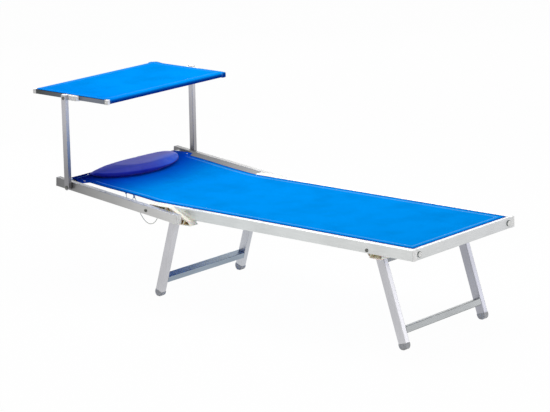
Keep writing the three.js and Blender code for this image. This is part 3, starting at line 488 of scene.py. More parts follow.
class LoungerCloth(bpy.types.PropertyGroup):
    azure: colour_property("Sling", "Colour of the sling and roof cloth", "#0095f6")
    # Painted shade: the next three tones darken the sling up the backrest, in the shade of the canopy and the pillow
    middle: colour_property("Sling, middle", "Colour of the sling half way up the backrest", "#027fee")
    upper: colour_property("Sling, upper", "Colour of the sling where the pillow starts", "#015eea")
    painted_deep_shade: colour_property("Sling, head", "Colour of the sling beside the pillow", "#0a1d80")
    # Hem tone: doubled cloth, and painted shadow along the edges where the cloth turns down into the slots
    hem: colour_property("Hem", "Colour where the sling is sewn double", "#0b55b4")
    # Painted shade: the roof sleeve's tone stands for the shade on the sleeve's side and under it
    sleeve: colour_property("Roof sleeve", "Colour of the roof's sewn foot edge", "#033a96")
    thread: colour_property("Thread", "Sewing thread", "#7cc2ff")
    # Painted light: the crown's tone is a painted sheen and the side's tone is painted shade
    crown: colour_property("Pillow crown", "Colour of the pillow's crown", "#4f58c6")
    front: colour_property("Pillow side", "Colour of the pillow's side towards the seat", "#021ba6")
    weave: bpy.props.FloatProperty(
        name="Weave", description="Distance between drawn threads", unit="LENGTH", default=0.004, min=0.0005)
    thickness: bpy.props.FloatProperty(
        name="Thickness", description="Thickness of the cloth", unit="LENGTH", default=0.0011, min=0.0003)
    hem_width: bpy.props.FloatProperty(
        name="Hem width", description="From the sling's edge to its seam", unit="LENGTH", default=0.0275, min=0.005)


class LoungerFrame(bpy.types.PropertyGroup):
    rail: colour_property("Rails", "Light tone of the anodised seat rails", "#dee0df")
    back: colour_property("Back rails", "Light tone of the anodised back rails", "#cdcdcc")
    arm: colour_property("Arms", "Light tone of the anodised canopy arms", "#bbbabf")
    roof: colour_property("Roof rails", "Light tone of the anodised roof rails", "#7a7f89")
    leg: colour_property("Legs", "Light tone of the anodised legs", "#c9c9cd")
    nylon: colour_property("Nylon", "Colour of the recline joints and leg brackets", "#fffaec")
    roughness: bpy.props.FloatProperty(
        name="Roughness", description="Roughness of the anodised tubes", default=0.36, min=0.05, max=1)


class LoungerStage(bpy.types.PropertyGroup):
    lens: bpy.props.FloatProperty(
        name="Lens", description="Focal length in millimetres on a 36 mm frame", default=152.67, min=10)
    top_power: bpy.props.FloatProperty(
        name="Top light", description="Power of the overhead soft box", unit="POWER", default=60, min=0)
    side_power: bpy.props.FloatProperty(
        name="Side light", description="Power of the soft box beyond the foot end", unit="POWER", default=30, min=0)
    fill: bpy.props.FloatProperty(
        name="Fill", description="Strength of the surroundings' light", default=0.34, min=0)


def soft_box(name, place, target, size, power, colour=(1, 1, 1)):
    """An oblong area lamp aimed at a point."""
    lamp = bpy.data.lights.new(name, "AREA")
    lamp.shape = "RECTANGLE"
    lamp.size, lamp.size_y = size
    lamp.energy = power
    lamp.color = colour
    made = bpy.data.objects.new(name, lamp)
    made.location = place
    made.rotation_euler = (Vector(target) - Vector(place)).to_track_quat("-Z", "Y").to_euler()
    bpy.context.scene.collection.objects.link(made)


def seen_white(tree):
    """1 for rays of the camera, mirrors and glass, which see the pale background as white."""
    rays = node(tree, "LightPath")
    seen = node(tree, "Math", {0: rays["Is Camera Ray"], 1: rays["Is Glossy Ray"]}, operation="MAXIMUM")[0]
    return node(tree, "Math", {0: seen, 1: rays["Is Transmission Ray"]}, operation="MAXIMUM")[0]


def white_sweep(tree, colour, share):
    """Matt painted sweep: it keeps the shadow, and the camera sees the given share of it as white."""
    paint = node(tree, "BsdfDiffuse", {"Color": colour})[0]
    glow = node(tree, "Emission", {"Color": (1, 1, 1, 1), "Strength": 1.0})[0]
    seen = node(tree, "Math", {0: seen_white(tree), 1: share}, operation="MULTIPLY")[0]
    return node(tree, "MixShader", {0: seen, 1: paint, 2: glow})[0]


class LOUNGER_OT_stage(bpy.types.Operator):
    """Makes the floor, the surroundings, the lamps and the camera."""

    bl_idname = "lounger.stage"
    bl_label = "Stage"

    def execute(self, context):
        stage = context.scene.lounger_stage
        context.scene.view_settings.view_transform = "Standard"
        world = bpy.data.worlds.new("studio")
        world.use_nodes = True
        context.scene.world = world
        tree = world.node_tree
        tree.nodes.clear()
        strength = node(tree, "MapRange", {"Value": seen_white(tree), "To Min": stage.fill, "To Max": 1.0})[0]
        sky = node(tree, "Background", {"Color": (1, 1, 1, 1), "Strength": strength})[0]
        node(tree, "OutputWorld", {"Surface": sky})

        # A flat disc: rings of growing radius round the origin
        turn = full_turn(96)
        radius = np.array([0.0, 1.0, 2.5, 5.0, 9.0])[:, None]
        disc = together(radius * np.cos(turn), radius * np.sin(turn), 0.0)
        floor = closed(surface("studio_floor", disc, wrap_columns=True))
        if floor.data.polygons[0].normal.z < 0:
            floor.data.flip_normals()
        floor.data.materials.append(finished("matt white sweep", white_sweep, "#f4f4f4", FLOOR_WHITE))

        soft_box("soft_box_top", (-0.2, 0.3, 3.2), (-0.05, 0.0, 0.4), (2.6, 1.6), stage.top_power)
        soft_box("soft_box_foot", (4.2, -2.4, 1.6), (0.3, 0.0, 0.35), (1.6, 1.6), stage.side_power)
        soft_box("soft_box_head", (-3.4, 0.9, 1.0), (-0.8, 0.0, 0.48), (1.0, 0.7), 12, (1.0, 0.9, 0.95))
        # Two low strips beyond the object brighten the tops of the tubes and the faces towards the foot end
        soft_box("strip_far", (-4.2, 4.6, 1.75), (0.0, 0.0, 0.4), (5.0, 1.0), 40)
        soft_box("strip_foot", (3.8, 3.9, 0.5), (0.3, 0.0, 0.4), (2.5, 0.9), 17, (0.97, 0.96, 1.0))

        camera = bpy.data.objects.new("camera", bpy.data.cameras.new("camera"))
        camera.data.lens = stage.lens
        camera.data.sensor_width = 36
        camera.data.clip_end = 100
        right = Vector((0.73922569, 0.67217091, -0.04161302))
        up = Vector((-0.13133179, 0.2044856, 0.97001938))
        ahead = Vector((-0.66052808, 0.71159813, -0.23943841))
        turn = Matrix((right, up, -ahead)).transposed().to_4x4()
        place = Vector((5.289008, -6.747751, 2.661945)) + Vector((FOOT_X, 0.0, 0.0))
        camera.matrix_world = Matrix.Translation(place) @ turn
        context.scene.collection.objects.link(camera)
        context.scene.camera = camera
        return {"FINISHED"}


class LOUNGER_OT_tie_cord(bpy.types.Operator):
    """Makes the thin cord that hangs from a loop under the sling's hem to the recline bolt."""

    bl_idname = "lounger.tie_cord"
    bl_label = "Tie cord"

    def execute(self, context):
        route = np.array(CORD_ROUTE) / 1000 + np.array((FOOT_X, 0.0, 0.0))
        knots = np.arange(len(route))
        fine = np.linspace(0, len(route) - 1, 400)
        smooth = np.stack([np.interp(fine, knots, route[:, k]) for k in range(3)], -1)
        passes, sides = 80, 12
        for _ in range(passes):
            smooth[1:-1] = (smooth[:-2] + 2 * smooth[1:-1] + smooth[2:]) / 4
        line = resample(smooth, np.linspace(0, path_length(smooth)[-1], 260))
        # Three strands give the round section its lobes, which turn once in 9 mm
        run = path_length(line)[:, None]
        angle = full_turn(sides)[None]
        lobes = CORD_RADIUS * (0.93 + 0.07 * np.cos(3 * (angle + 2 * np.pi * run / (3 * STRAND_PITCH))))
        tube = carried(line, together(lobes * np.cos(angle), lobes * np.sin(angle)), (0, 1, 0))
        points = np.concatenate([np.repeat(line[:1, None], sides, 1), tube, np.repeat(line[-1:, None], sides, 1)])
        made = surface("tie_cord_dress", points, wrap_columns=True)
        v = np.concatenate([[0], run[:, 0], run[-1:, 0]])[:, None]
        put_map(made, *np.broadcast_arrays(angle / (2 * np.pi), v))
        closed(made)
        made.data.materials.append(finished("twisted polyester cord", twisted_cord, "#e6e9e0", "#b7bcb0"))
        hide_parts("tie_cord")
        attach(made, "backrest")
        arch = line[int(np.argmax(np.where(run[:, 0] > 0.03, line[:, 2], 0)))]
        self.loop("cord_loop_head", line[0], 0.0058)
        self.loop("cord_loop_foot", arch, 0.0117)
        return {"FINISHED"}

    def loop(self, name, top, drop):
        """A strip of tape in the form of a U, which hangs from the hem by the drop and holds the cord."""
        legs = np.array([[-0.0032, drop], [-0.0028, 0.003]])
        path = np.concatenate([legs, arc((0.0, 0.0), LOOP_BEND, 180, 360, 9), legs[::-1] * (-1, 1)])
        x = top[0] + np.linspace(-LOOP_HALF, LOOP_HALF, 5)
        made = surface(name, together(x, top[1] + path[:, :1], top[2] + path[:, 1:]))
        thicken(made, LOOP_TAPE)
        made.data.materials.append(finished(f"woven polyester tape, {name}", sewing_thread, "#3c86dc", "#2a6cc4"))
        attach(made, "backrest")


class LOUNGER_OT_frame_finish(bpy.types.Operator):
    """Gives every tube, bolt and moulding of the frame its finish."""

    bl_idname = "lounger.frame_finish"
    bl_label = "Frame finishes"

    def execute(self, context):
        tubes = context.scene.lounger_frame
        # Name, light tone and axis of the die lines, then the axis, deepest place, full place and tint of painted shade
        # along each tube
        metals = {
            "rail": ("seat rails", tubes.rail, 0, 0, RECLINE.x, 0.85, (0.92, 0.95, 0.97)),
            "cross": ("cross tubes", tubes.rail, 1, 1, 0.32, -0.66, (0.77, 0.77, 0.79)),
            "back": ("back rails", tubes.back, 0, 0, RECLINE.x - 0.535, RECLINE.x + 0.11, (0.28, 0.28, 0.29)),
            "arm": ("arms", tubes.arm, 2, 2, 0.5, 0.76, (0.57, 0.57, 0.56)),
            "roof": ("roof rails", tubes.roof, 0, 0, TILT.x - 0.18, TILT.x + 0.1, (0.37, 0.37, 0.33)),
            "foot leg": ("foot legs", tubes.leg, 2, 1, 0.24, -0.24, (0.66, 0.67, 0.71)),
            "head leg": ("head legs", tubes.leg, 2, 1, 0.24, -0.24, (0.9, 0.93, 0.95)),
            "foot bar": ("foot leg bars", tubes.leg, 1, 0, 0.9, 2.0, (0.47, 0.49, 0.47)),
            "head bar": ("head leg bar", tubes.leg, 1, 0, -0.3, 0.6, (0.5, 0.6, 0.68)),
        }
        # Name, light tone, tones of painted shade in pockets and in the deepest corners, roughness, and translucency if
        # any
        mouldings = {
            "nylon": ("nylon, cream", tubes.nylon, "#f3dfa4", "#dfab52", 0.42, 0.15),
            "bracket": ("nylon, leg brackets", tubes.nylon, "#efe8cf", "#cdbd8d", 0.42, 0.15),
            "white": ("polypropylene, white", "#fdfdfc", "#d6d9d8", "#a4a7a6", 0.36),
            "grey": ("polypropylene, grey", "#b9babd", "#a4a6aa", "#7f8186", 0.5),
        }
        finish = {"steel": finished("zinc-plated steel", zinc_steel, "#8c8d89", "#5d5e5a", 0.4)}
        for kind, (name, light, *run) in metals.items():
            finish[kind] = finished(f"anodised aluminium, {name}", anodised_aluminium, light, tubes.roughness, *run)
        for kind, (name, *tones) in mouldings.items():
            finish[kind] = finished(f"moulded {name}", moulded_plastic, *tones)
        kinds = {start: kind for kind, starts in NODE_FINISHES.items() for start in starts.split()}
        for name, piece in frame["nodes"].items():
            # The longest start that fits. None fits the soft solids, for which other pieces stand
            start = max((start for start in kinds if name.startswith(start)), key=len, default="roof_cap")
            piece.data.materials.clear()
            piece.data.materials.append(finish[kinds[start]])
        return {"FINISHED"}


def sling_rows():
    """The sling's middle line in X and Z, from the foot rail's slot to the end of the head sleeve.

    It rises in the slot, turns over a small arc, runs level to the recline joint, climbs the backrest along a
    straight line, winds round the head tube on an arc and comes back under itself. The second value is each row's
    reach on the backrest, which is negative on the seat."""
    edge = SEAT_CLOTH[1].x - 0.0006
    turn = 0.0022
    drop = np.array([[edge, SEAT_LEVEL - 0.0085], [edge, SEAT_LEVEL - 0.004], [edge, SEAT_LEVEL - turn]])
    corner = arc((edge - turn, SEAT_LEVEL - turn), turn, 0, 90, 5)[1:]
    x = np.concatenate([
        edge - turn - np.linspace(0.001, 0.042, 16), np.linspace(edge - 0.055, RECLINE.x + 0.155, 72),
        np.linspace(RECLINE.x + 0.148, RECLINE.x + 0.022, 24),
    ])
    flat = together(x, SEAT_LEVEL)
    reach = np.concatenate([np.linspace(SHEET_START, 0.388, 46), np.linspace(0.392, HEAD_REACH, 44)])
    back = back_point(reach, sheet_rise(reach))
    lean = math.degrees(INCLINE)
    sleeve = arc(back_point(HEAD_REACH, HEAD_RISE), SLEEVE_RADIUS, 90 - lean, 310 - lean, 26)[1:]
    tail = back_point(np.array([0.479, 0.471, 0.462, 0.451, 0.440]), np.array([-0.0075, 0.001, 0.01, 0.0137, 0.014]))
    rows = np.concatenate([drop, corner, flat, back, sleeve, tail])
    reaches = np.concatenate([
        np.full(len(drop) + len(corner), -1.0), RECLINE.x - x, reach, np.full(len(sleeve) + len(tail), HEAD_REACH)])
    return rows, reaches


def sling_grid():
    """The sling as a grid: its middle line carried across, with turned sides.

    Rows follow the middle line. Columns run across it, closer together at the hems. The outer columns turn down into
    the side rails' slots along the seat and roll under by 2 mm along the backrest. The hem stands proud by half a
    millimetre, and the cloth hollows between its edges by up to 2 mm."""
    rows, reaches = sling_rows()
    from_foot = path_length(rows)
    # The cloth's upper side: a quarter turn from the way ahead, which runs towards the head
    up = unit(np.gradient(rows, axis=0))[:, ::-1] * (1, -1)
    half = np.interp(reaches, *np.array(SLING_HALF).T) - 0.006 * (1 - smoothstep(from_foot, 0.008, 0.02))
    share = both_ways(np.concatenate([np.linspace(0, 0.887, 22), np.linspace(0.896, 1, 16)]))
    across = share[None, :] * (half[:, None] - EDGE_ROLL)
    distance = half[:, None] - np.abs(across)
    on_seat = smoothstep(from_foot, 0.03, 0.3) * smoothstep(-reaches, -0.02, 0.1)
    on_back = smoothstep(reaches, 0.03, 0.15) * (1 - smoothstep(reaches, 0.26, 0.36))
    hollow = SLING_HOLLOW * smoothstep(distance, 0.0, 0.2) * (on_seat + on_back)[:, None]
    lifted = HEM_PROUD * (1 - smoothstep(distance, 0.0245, 0.0275)) - hollow
    in_slot = smoothstep(rows[:, 0], RECLINE.x + 0.108, RECLINE.x + 0.145) * smoothstep(from_foot, 0.012, 0.03)
    drop = 0.0018 + 0.0057 * in_slot
    edge_side = half[:, None] - EDGE_ROLL * (1 - np.array([0.35, 1.0, 1.0]))
    edge_fall = -drop[:, None] * np.array([0.25, 0.55, 1.0])
    y = np.concatenate([-edge_side[:, ::-1], across, edge_side], 1)
    lift = np.concatenate([edge_fall[:, ::-1], lifted, edge_fall], 1)
    grid = np.stack([rows[:, :1] + up[:, :1] * lift, y, rows[:, 1:] + up[:, 1:] * lift], -1)
    return grid, from_foot, reaches, half


class LOUNGER_OT_sling(bpy.types.Operator):
    """Makes the sling as one cloth, from the foot rail's slot to the sleeve round the head tube."""

    bl_idname = "lounger.sling"
    bl_label = "Sling"

    def execute(self, context):
        cloth = context.scene.lounger_cloth
        grid, from_foot, reaches, half = sling_grid()
        made = surface("sling_dress", grid)
        across = grid[..., 1]
        distance = np.clip(half[:, None] - np.abs(across), 0, None)
        length = np.broadcast_to(from_foot[:, None], distance.shape)
        to_edge = np.minimum(distance, length - 0.008)
        upper = smoothstep(reaches, 0.36, 0.4)[:, None]
        # Hem band: doubled cloth, and painted shadow where the edge turns down into the slots
        put_attribute(made, "hem", (1 - smoothstep(to_edge, 0.008, 0.013)) * (1 - 0.75 * upper))
        line = 1 - smoothstep(np.abs(to_edge - cloth.hem_width), 0.002, 0.0045)
        put_attribute(made, "seam", 0.42 * line * (1 - 0.8 * upper))
        # Painted shade of the canopy and the pillow: the blue deepens up the backrest, a little later on the left
        late = 0.055 * smoothstep(across, 0.0, 0.29)
        put_attribute(made, "shade", np.clip((reaches[:, None] - late - 0.15) / 0.31, 0, 1))
        put_map(made, across, length)
        shades = [(0.0, cloth.azure), (0.3, cloth.middle), (0.62, cloth.upper), (1.0, cloth.painted_deep_shade)]
        made.data.materials.append(finished(
            "PVC-coated polyester mesh, sling", sling_cloth, shades, cloth.hem, cloth.thread, cloth.weave))
        thicken(made, cloth.thickness)
        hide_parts("seat_sling", "back_sling")
        bend = (RECLINE + Vector((0.055, 0, 0.022)), RECLINE + Vector((-0.05, 0, 0.022)))
        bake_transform(made)
        self.stitches(cloth, grid, from_foot, reaches, half, bend)
        return {"FINISHED"}

    def stitches(self, cloth, grid, from_foot, reaches, half, bend):
        """Sews the hems: rows of small rounded stitches that follow the cloth's own grid."""
        sewn = np.flatnonzero((from_foot > 0.035) & (reaches < 0.395))
        lines = []
        for sign in (-1, 1):
            share = sign * (half[sewn] - cloth.hem_width)
            lines.append(np.array([self.at(row, y) for row, y in zip(grid[sewn], share)]))
        foot_row = grid[int(np.argmin(np.abs(from_foot - 0.008 - cloth.hem_width)))]
        head_row = grid[int(np.argmin(np.abs(reaches - 0.474)))]
        for row, reach in ((foot_row, 0.261), (head_row, 0.3)):
            lines.append(np.array([self.at(row, y) for y in np.linspace(-reach, reach, 90)]))
        made = stitch_rows("sling_stitches", lines)
        made.data.materials.append(finished(
            "polyester sewing thread, pale blue", sewing_thread, cloth.thread, "#58a8f0"))
        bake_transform(made)

    def at(self, row, y):
        """The point of one row of the cloth at a place across."""
        return [np.interp(y, row[:, 1], row[:, k]) for k in range(3)]


def stitch_rows(name, lines):
    """Stitches along lines: each is a small ellipsoid half sunk in the cloth, long along the line."""
    rings, sides = 5, 6
    u, v = np.linspace(0, np.pi, rings)[:, None], full_turn(sides)
    long, wide, rise = STITCH_SIZE
    base = together(-np.cos(u) * long / 2, np.sin(u) * np.cos(v) * wide, np.sin(u) * np.sin(v) * rise)
    faces = grid_faces(rings, sides, wrap_columns=True)
    points, corners, count = [], [], 0
    for line in lines:
        places = resample(line, np.arange(STITCH_PITCH / 2, path_length(line)[-1] - STITCH_PITCH / 2, STITCH_PITCH))
        ahead = unit(np.gradient(places, axis=0))
        side = unit(np.cross([0.0, 0.0, 1.0], ahead))
        axes = np.stack([ahead, side, np.cross(ahead, side)], 1)
        stitches = np.einsum("abk,nkj->nabj", base, axes)
        points.append((places[:, None, None] + axes[:, None, None, 2] * STITCH_LIFT + stitches).reshape(-1, 3))
        starts = count + np.arange(len(places)) * rings * sides
        corners.append((faces[None] + starts[:, None, None]).reshape(-1, 4))
        count += len(places) * rings * sides
    return closed(mesh_object(name, np.concatenate(points), np.concatenate(corners)), 1e-7)


class LOUNGER_OT_roof_cloth(bpy.types.Operator):
    """Makes the roof as one cloth: it hollows between the side rails and is sewn round both cross tubes."""

    bl_idname = "lounger.roof_cloth"
    bl_label = "Roof cloth"

    def execute(self, context):
        cloth = context.scene.lounger_cloth
        grid, run, share, on_top, to_tube = self.grid()
        made = surface("roof_cloth_dress", grid, flip=True)
        across = grid[..., 1]
        distance = np.abs(across).max(1, keepdims=True) - np.abs(across)
        along = np.broadcast_to(run[:, None], across.shape)
        foot_turn = run[on_top][-1]
        # Painted shade: the sleeve round the foot tube takes the darker sleeve tone for the shade on its side and under
        # it; the thin darker side edges are painted shadow along the rails
        put_attribute(made, "hem", np.maximum(
            smoothstep(along, foot_turn - 0.002, foot_turn + 0.016), 0.5 * (1 - smoothstep(distance, 0.002, 0.004))))
        to_edge = np.minimum(distance, np.where(on_top, to_tube, 1.0)[:, None])
        put_attribute(made, "seam", 0.16 * (1 - smoothstep(np.abs(to_edge - ROOF_SEAM), 0.0015, 0.004)))
        # Painted shade: the roof's blue deepens towards its right edge
        put_attribute(made, "shade", 0.08 + 0.34 * smoothstep(-across, 0.05, 0.34))
        put_map(made, across, along)
        shades = [(0.0, cloth.azure), (1.0, cloth.middle)]
        made.data.materials.append(finished(
            "PVC-coated polyester mesh, roof", sling_cloth, shades, cloth.sleeve, cloth.thread, cloth.weave))
        thicken(made, cloth.thickness)
        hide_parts("roof_cloth")
        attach(made, "canopy_roof")
        sewn = np.flatnonzero(on_top & (to_tube > 0.018))
        sides = [int(np.argmin(np.abs(share - sign * (1 - ROOF_SEAM / ROOF_HALF)))) for sign in (-1, 1)]
        lines = [grid[sewn, column] for column in sides] + [grid[row, 6:-6] for row in (sewn[1], sewn[-2])]
        seams = stitch_rows("roof_stitches", lines)
        seams.data.materials.append(finished("polyester sewing thread, roof", sewing_thread, "#2ea4ff", "#1a8ef0"))
        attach(seams, "canopy_roof")
        return {"FINISHED"}

    def grid(self):
        """The roof's middle line wound round the head tube, run over the rails and wound round the foot tube.

        Between the tubes the height is the sleeves' level plus a rise onto the rails, less a hollow that is a
        parabola along and a cubic across. Pull lines and a bulge at the head corners add under 4 mm."""
        head, foot = ROOF_HEAD, ROOF_FOOT
        # Points wound round each tube, and along the top between them
        wound, between = 26, 96
        tail = np.array([[0.034, 0.0078], [0.021, 0.0022], [0.0105, -0.005]])
        wrap_head = arc((head, 0.0), ROOF_RING, -42, -270, wound)
        top = together(np.linspace(head, foot, between + 2)[1:-1], ROOF_RING)
        wrap_foot = arc((foot, 0.0), ROOF_RING, 90, -138, wound)
        rows = np.concatenate([tail + (head, 0), wrap_head, top, wrap_foot, (tail * (-1, 1))[::-1] + (foot, 0)])
        run = path_length(rows)
        index = np.arange(len(rows))
        first, last = len(tail) + wound - 1, len(tail) + wound + between
        on_top = (index >= first) & (index <= last)
        along = rows[:, 0]
        to_tube = np.minimum(along - head, foot - along)
        over_caps = 1 - smoothstep(to_tube, 0.0085, 0.0125)
        wide, narrow = ROOF_HALF - 0.0008, ROOF_SLEEVE_HALF
        right = np.where(on_top, wide - (wide - narrow) * over_caps, narrow)[:, None]
        share = both_ways(np.concatenate([np.linspace(0, 0.9, 26), np.linspace(0.91, 1, 14)]))
        half = np.where(share[None, :] > 0, ROOF_LEFT, right)
        across = share[None, :] * half
        distance = half - np.abs(across)
        span = (np.clip(to_tube - 0.009, 0, None) / ((foot - head) / 2 - 0.009))[:, None]
        centre = np.clip(1 - np.abs(across) / 0.3346, 0, 1)
        hollow = ROOF_HOLLOW * (1 - (1 - span) ** 2) * (1 - (1 - centre) ** 3)
        rise = ROOF_RISE * smoothstep(to_tube, 0.0, 0.009)[:, None] - hollow
        pull = np.exp(-(((to_tube - 0.02) / 0.03) ** 2))[:, None]
        rise += np.sin(across * 75) * pull * ROOF_PULL * smoothstep(distance, 0, 0.05)
        rise += ROOF_HEM * (1 - smoothstep(distance, 0.017, 0.02))
        bulge = np.exp(-(((along - head - 0.03) / 0.022) ** 2))[:, None]
        rise += ROOF_BULGE * bulge * (1 - smoothstep(distance, 0.0, 0.06)) * (across > 0)
        level = rows[:, 1:] + rise * on_top[:, None]
        along = np.broadcast_to(along[:, None], level.shape).copy()
        # Over the left caps the rings grow from circles to rounded squares
        cover = smoothstep(across, 0.3318, 0.3348)
        level += cover * ((ROOF_COVER - ROOF_RING) * (1 - smoothstep(to_tube, 0.0, 0.009)) * on_top)[:, None]
        for tube, part, angles in (
                (head, slice(0, first + 1), np.linspace(-52, -270, first + 1)),
                (foot, slice(last, len(rows)), np.linspace(90, -128, len(rows) - last))):
            cos, sin = np.cos(np.radians(angles)), np.sin(np.radians(angles))
            reach = ROOF_COVER / (np.abs(cos) ** 6 + np.abs(sin) ** 6) ** (1 / 6)
            along[part] += cover[part] * ((tube + reach * cos)[:, None] - along[part])
            level[part] += cover[part] * ((reach * sin)[:, None] - level[part])
        x, z = roof_point(along, level)
        return together(x, across, z), run, share, on_top, to_tube


class LOUNGER_OT_pillow(bpy.types.Operator):
    """Makes the half-moon pillow: two curved panels that meet in a seam, blown up by a short cloth simulation."""

    bl_idname = "lounger.pillow"
    bl_label = "Pillow"

    def execute(self, context):
        cloth = context.scene.lounger_cloth
        made = self.bag()
        swell(made)
        place = points_of(made.data)
        place[:, 2] = np.clip(place[:, 2], 0.0, PILLOW_HEIGHT + 0.003)
        # How far each point lies towards the front rim: 0 at the straight edge, 1 at the bow
        tip = np.sqrt(np.clip(1 - (2 * place[:, 1] / PILLOW_WIDTH) ** 2, 0.03, 1))
        front = (place[:, 0] / PILLOW_DEPTH + PILLOW_CENTRE) / tip
        leftward = smoothstep(place[:, 1], *PILLOW_LEFT)
        fold = 0.024 - 0.011 * leftward
        # Painted light: crown marks the painted sheen on top, its lack marks painted shade on the side towards the seat
        # and along the low rim, and left marks a lighter painted sheen towards the left end
        low = 1 - smoothstep(place[:, 2], fold - 0.004, fold + 0.005)
        side = np.clip(smoothstep(front, 0.7, 1.0) * 0.4 + low * smoothstep(front, 0.3, 0.6), 0, 1)
        put_attribute(made, "crown", 1 - side)
        put_attribute(made, "left", 0.9 * leftward * smoothstep(front, 0.4, 0.75) * (1 - low))
        made.data.vertices.foreach_set("co", self.seat(place).ravel())
        made.data.update()
        made.data.polygons.foreach_set("use_smooth", np.ones(len(made.data.polygons), bool))
        soft = made.modifiers.new("smooth", "SUBSURF")
        soft.levels = soft.render_levels = 1
        made.data.materials.append(finished(
            "satin polyester, pillow", pillow_cloth, cloth.crown, "#1c34b8", cloth.front, "#3378ff"))
        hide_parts("pillow")
        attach(made, "backrest")
        self.piping(place)
        return {"FINISHED"}

    def bag(self):
        """The closed form: rings that shrink from a half-moon outline to its centre, crowned above and flat below.

        The outline is a half ellipse in front of a nearly straight edge. The crown's height falls from the centre as
        a power of the ring, and it is lower towards the tips."""
        turn = full_turn(120)
        ring = np.linspace(0, 1, 24)[:, None]
        # Across and forward shares of the rim at each angle
        across, bow = np.cos(turn), np.where(np.sin(turn) > 0, np.sin(turn), -0.04 * np.abs(np.sin(turn)))
        x, y = PILLOW_DEPTH * (bow - PILLOW_CENTRE), -PILLOW_WIDTH / 2 * across
        tip = np.sqrt(np.clip(1 - np.abs(ring * across) ** 2.6, 0, 1))
        crown = (1 - ring**3) ** 0.6 * (0.42 + 0.58 * tip)
        upper = together(ring * x, ring * y, PILLOW_SEAM + (PILLOW_HEIGHT - PILLOW_SEAM) * crown)
        low = PILLOW_SEAM * (1 - np.clip((1 - ring) * 4, 0, 1) ** 0.7)
        under = together(ring * x, ring * y, low)
        return closed(surface("pillow_dress", np.concatenate([upper, under[::-1][1:]]), wrap_columns=True), 1e-5)

    def seat(self, place):
        """Points from the pillow's own axes to where it lies on the sling."""
        lean = INCLINE - SHEET_FALL
        x, z = back_point(PILLOW_REACH, sheet_rise(PILLOW_REACH) + 0.0016)
        back = place[:, 0] + PILLOW_DEPTH * PILLOW_CENTRE
        height = place[:, 2] * (PILLOW_SETTLED - PILLOW_LESS * smoothstep(place[:, 1], *PILLOW_LEFT))
        return together(
            x + back * math.cos(lean) + height * math.sin(lean), place[:, 1],
            z - back * math.sin(lean) + height * math.cos(lean))

    def piping(self, place):
        """A round piping sewn into the seam, carried along the bag's own outline: its widest point at each angle."""
        count = 160
        angle = np.arctan2(place[:, 0] / PILLOW_DEPTH, place[:, 1] / PILLOW_WIDTH)
        radius = np.hypot(place[:, 0], place[:, 1])
        slots = np.round(angle / (2 * np.pi) * count).astype(int) % count
        widest = np.zeros(count)
        np.maximum.at(widest, slots, radius)
        widest = np.where(widest > 0, widest, (np.roll(widest, 1) + np.roll(widest, -1)) / 2)
        turn = np.arange(count) * 2 * np.pi / count
        way = unit(together(PILLOW_DEPTH * np.sin(turn), PILLOW_WIDTH * np.cos(turn)))
        rim = np.concatenate([way * widest[:, None], np.full((count, 1), PILLOW_SEAM - 0.001)], 1)
        for _ in range(3):
            rim = (np.roll(rim, 1, 0) + 2 * rim + np.roll(rim, -1, 0)) / 4
        rim = resample(np.concatenate([rim, rim[:1]]), np.linspace(0, path_length(rim)[-1], 240, endpoint=False))
        line = self.seat(rim)
        tube = carried(line, round_ring(PIPING_RADIUS, 10), (0.08, 0.0, 1.0), wraps=True)
        made = closed(surface("pillow_piping", tube, wrap_rows=True, wrap_columns=True))
        across = points_of(made.data)[:, 1]
        put_attribute(made, "crown", np.zeros(len(across)))
        # Painted highlight: the piping turns pale at its left end
        put_attribute(made, "left", smoothstep(across, 0.243, 0.256))
        navy = "#0a1f96"
        made.data.materials.append(finished("satin piping, navy", pillow_cloth, navy, navy, navy, "#c9d6f4"))
        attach(made, "backrest")


def swell(made):
    """Remeshes the closed form evenly and blows it up as a cloth bag, with no point moved by more than 8 mm."""
    steps, most, passes = 20, 0.008, 5
    scene = bpy.context.scene
    even = made.modifiers.new("even", "REMESH")
    even.mode = "VOXEL"
    even.voxel_size = 0.0045
    mesh = bpy.data.meshes.new_from_object(made.evaluated_get(bpy.context.evaluated_depsgraph_get()))
    made.modifiers.remove(even)
    made.data = mesh
    before = points_of(mesh)
    bag = made.modifiers.new("bag", "CLOTH")
    bag.settings.use_pressure = True
    bag.settings.uniform_pressure_force = 4.0
    bag.settings.effector_weights.gravity = 0
    bag.settings.tension_stiffness = 20
    bag.settings.bending_stiffness = 0.4
    bag.point_cache.frame_start, bag.point_cache.frame_end = 1, steps
    for step in range(1, steps + 1):
        scene.frame_set(step)
    move = points_of(made.evaluated_get(bpy.context.evaluated_depsgraph_get()).data) - before
    made.modifiers.remove(bag)
    scene.frame_set(1)
    far = np.linalg.norm(move, axis=1, keepdims=True)
    move *= np.minimum(1, most / np.maximum(far, 1e-9))
    mesh.vertices.foreach_set("co", (before + move).ravel())
    # Smoothing takes out the ripples that the bag is left with
    work = bmesh.new()
    work.from_mesh(mesh)
    for _ in range(passes):
        bmesh.ops.smooth_vert(work, verts=work.verts, factor=0.5, use_axis_x=True, use_axis_y=True, use_axis_z=True)
    work.to_mesh(mesh)
    work.free()


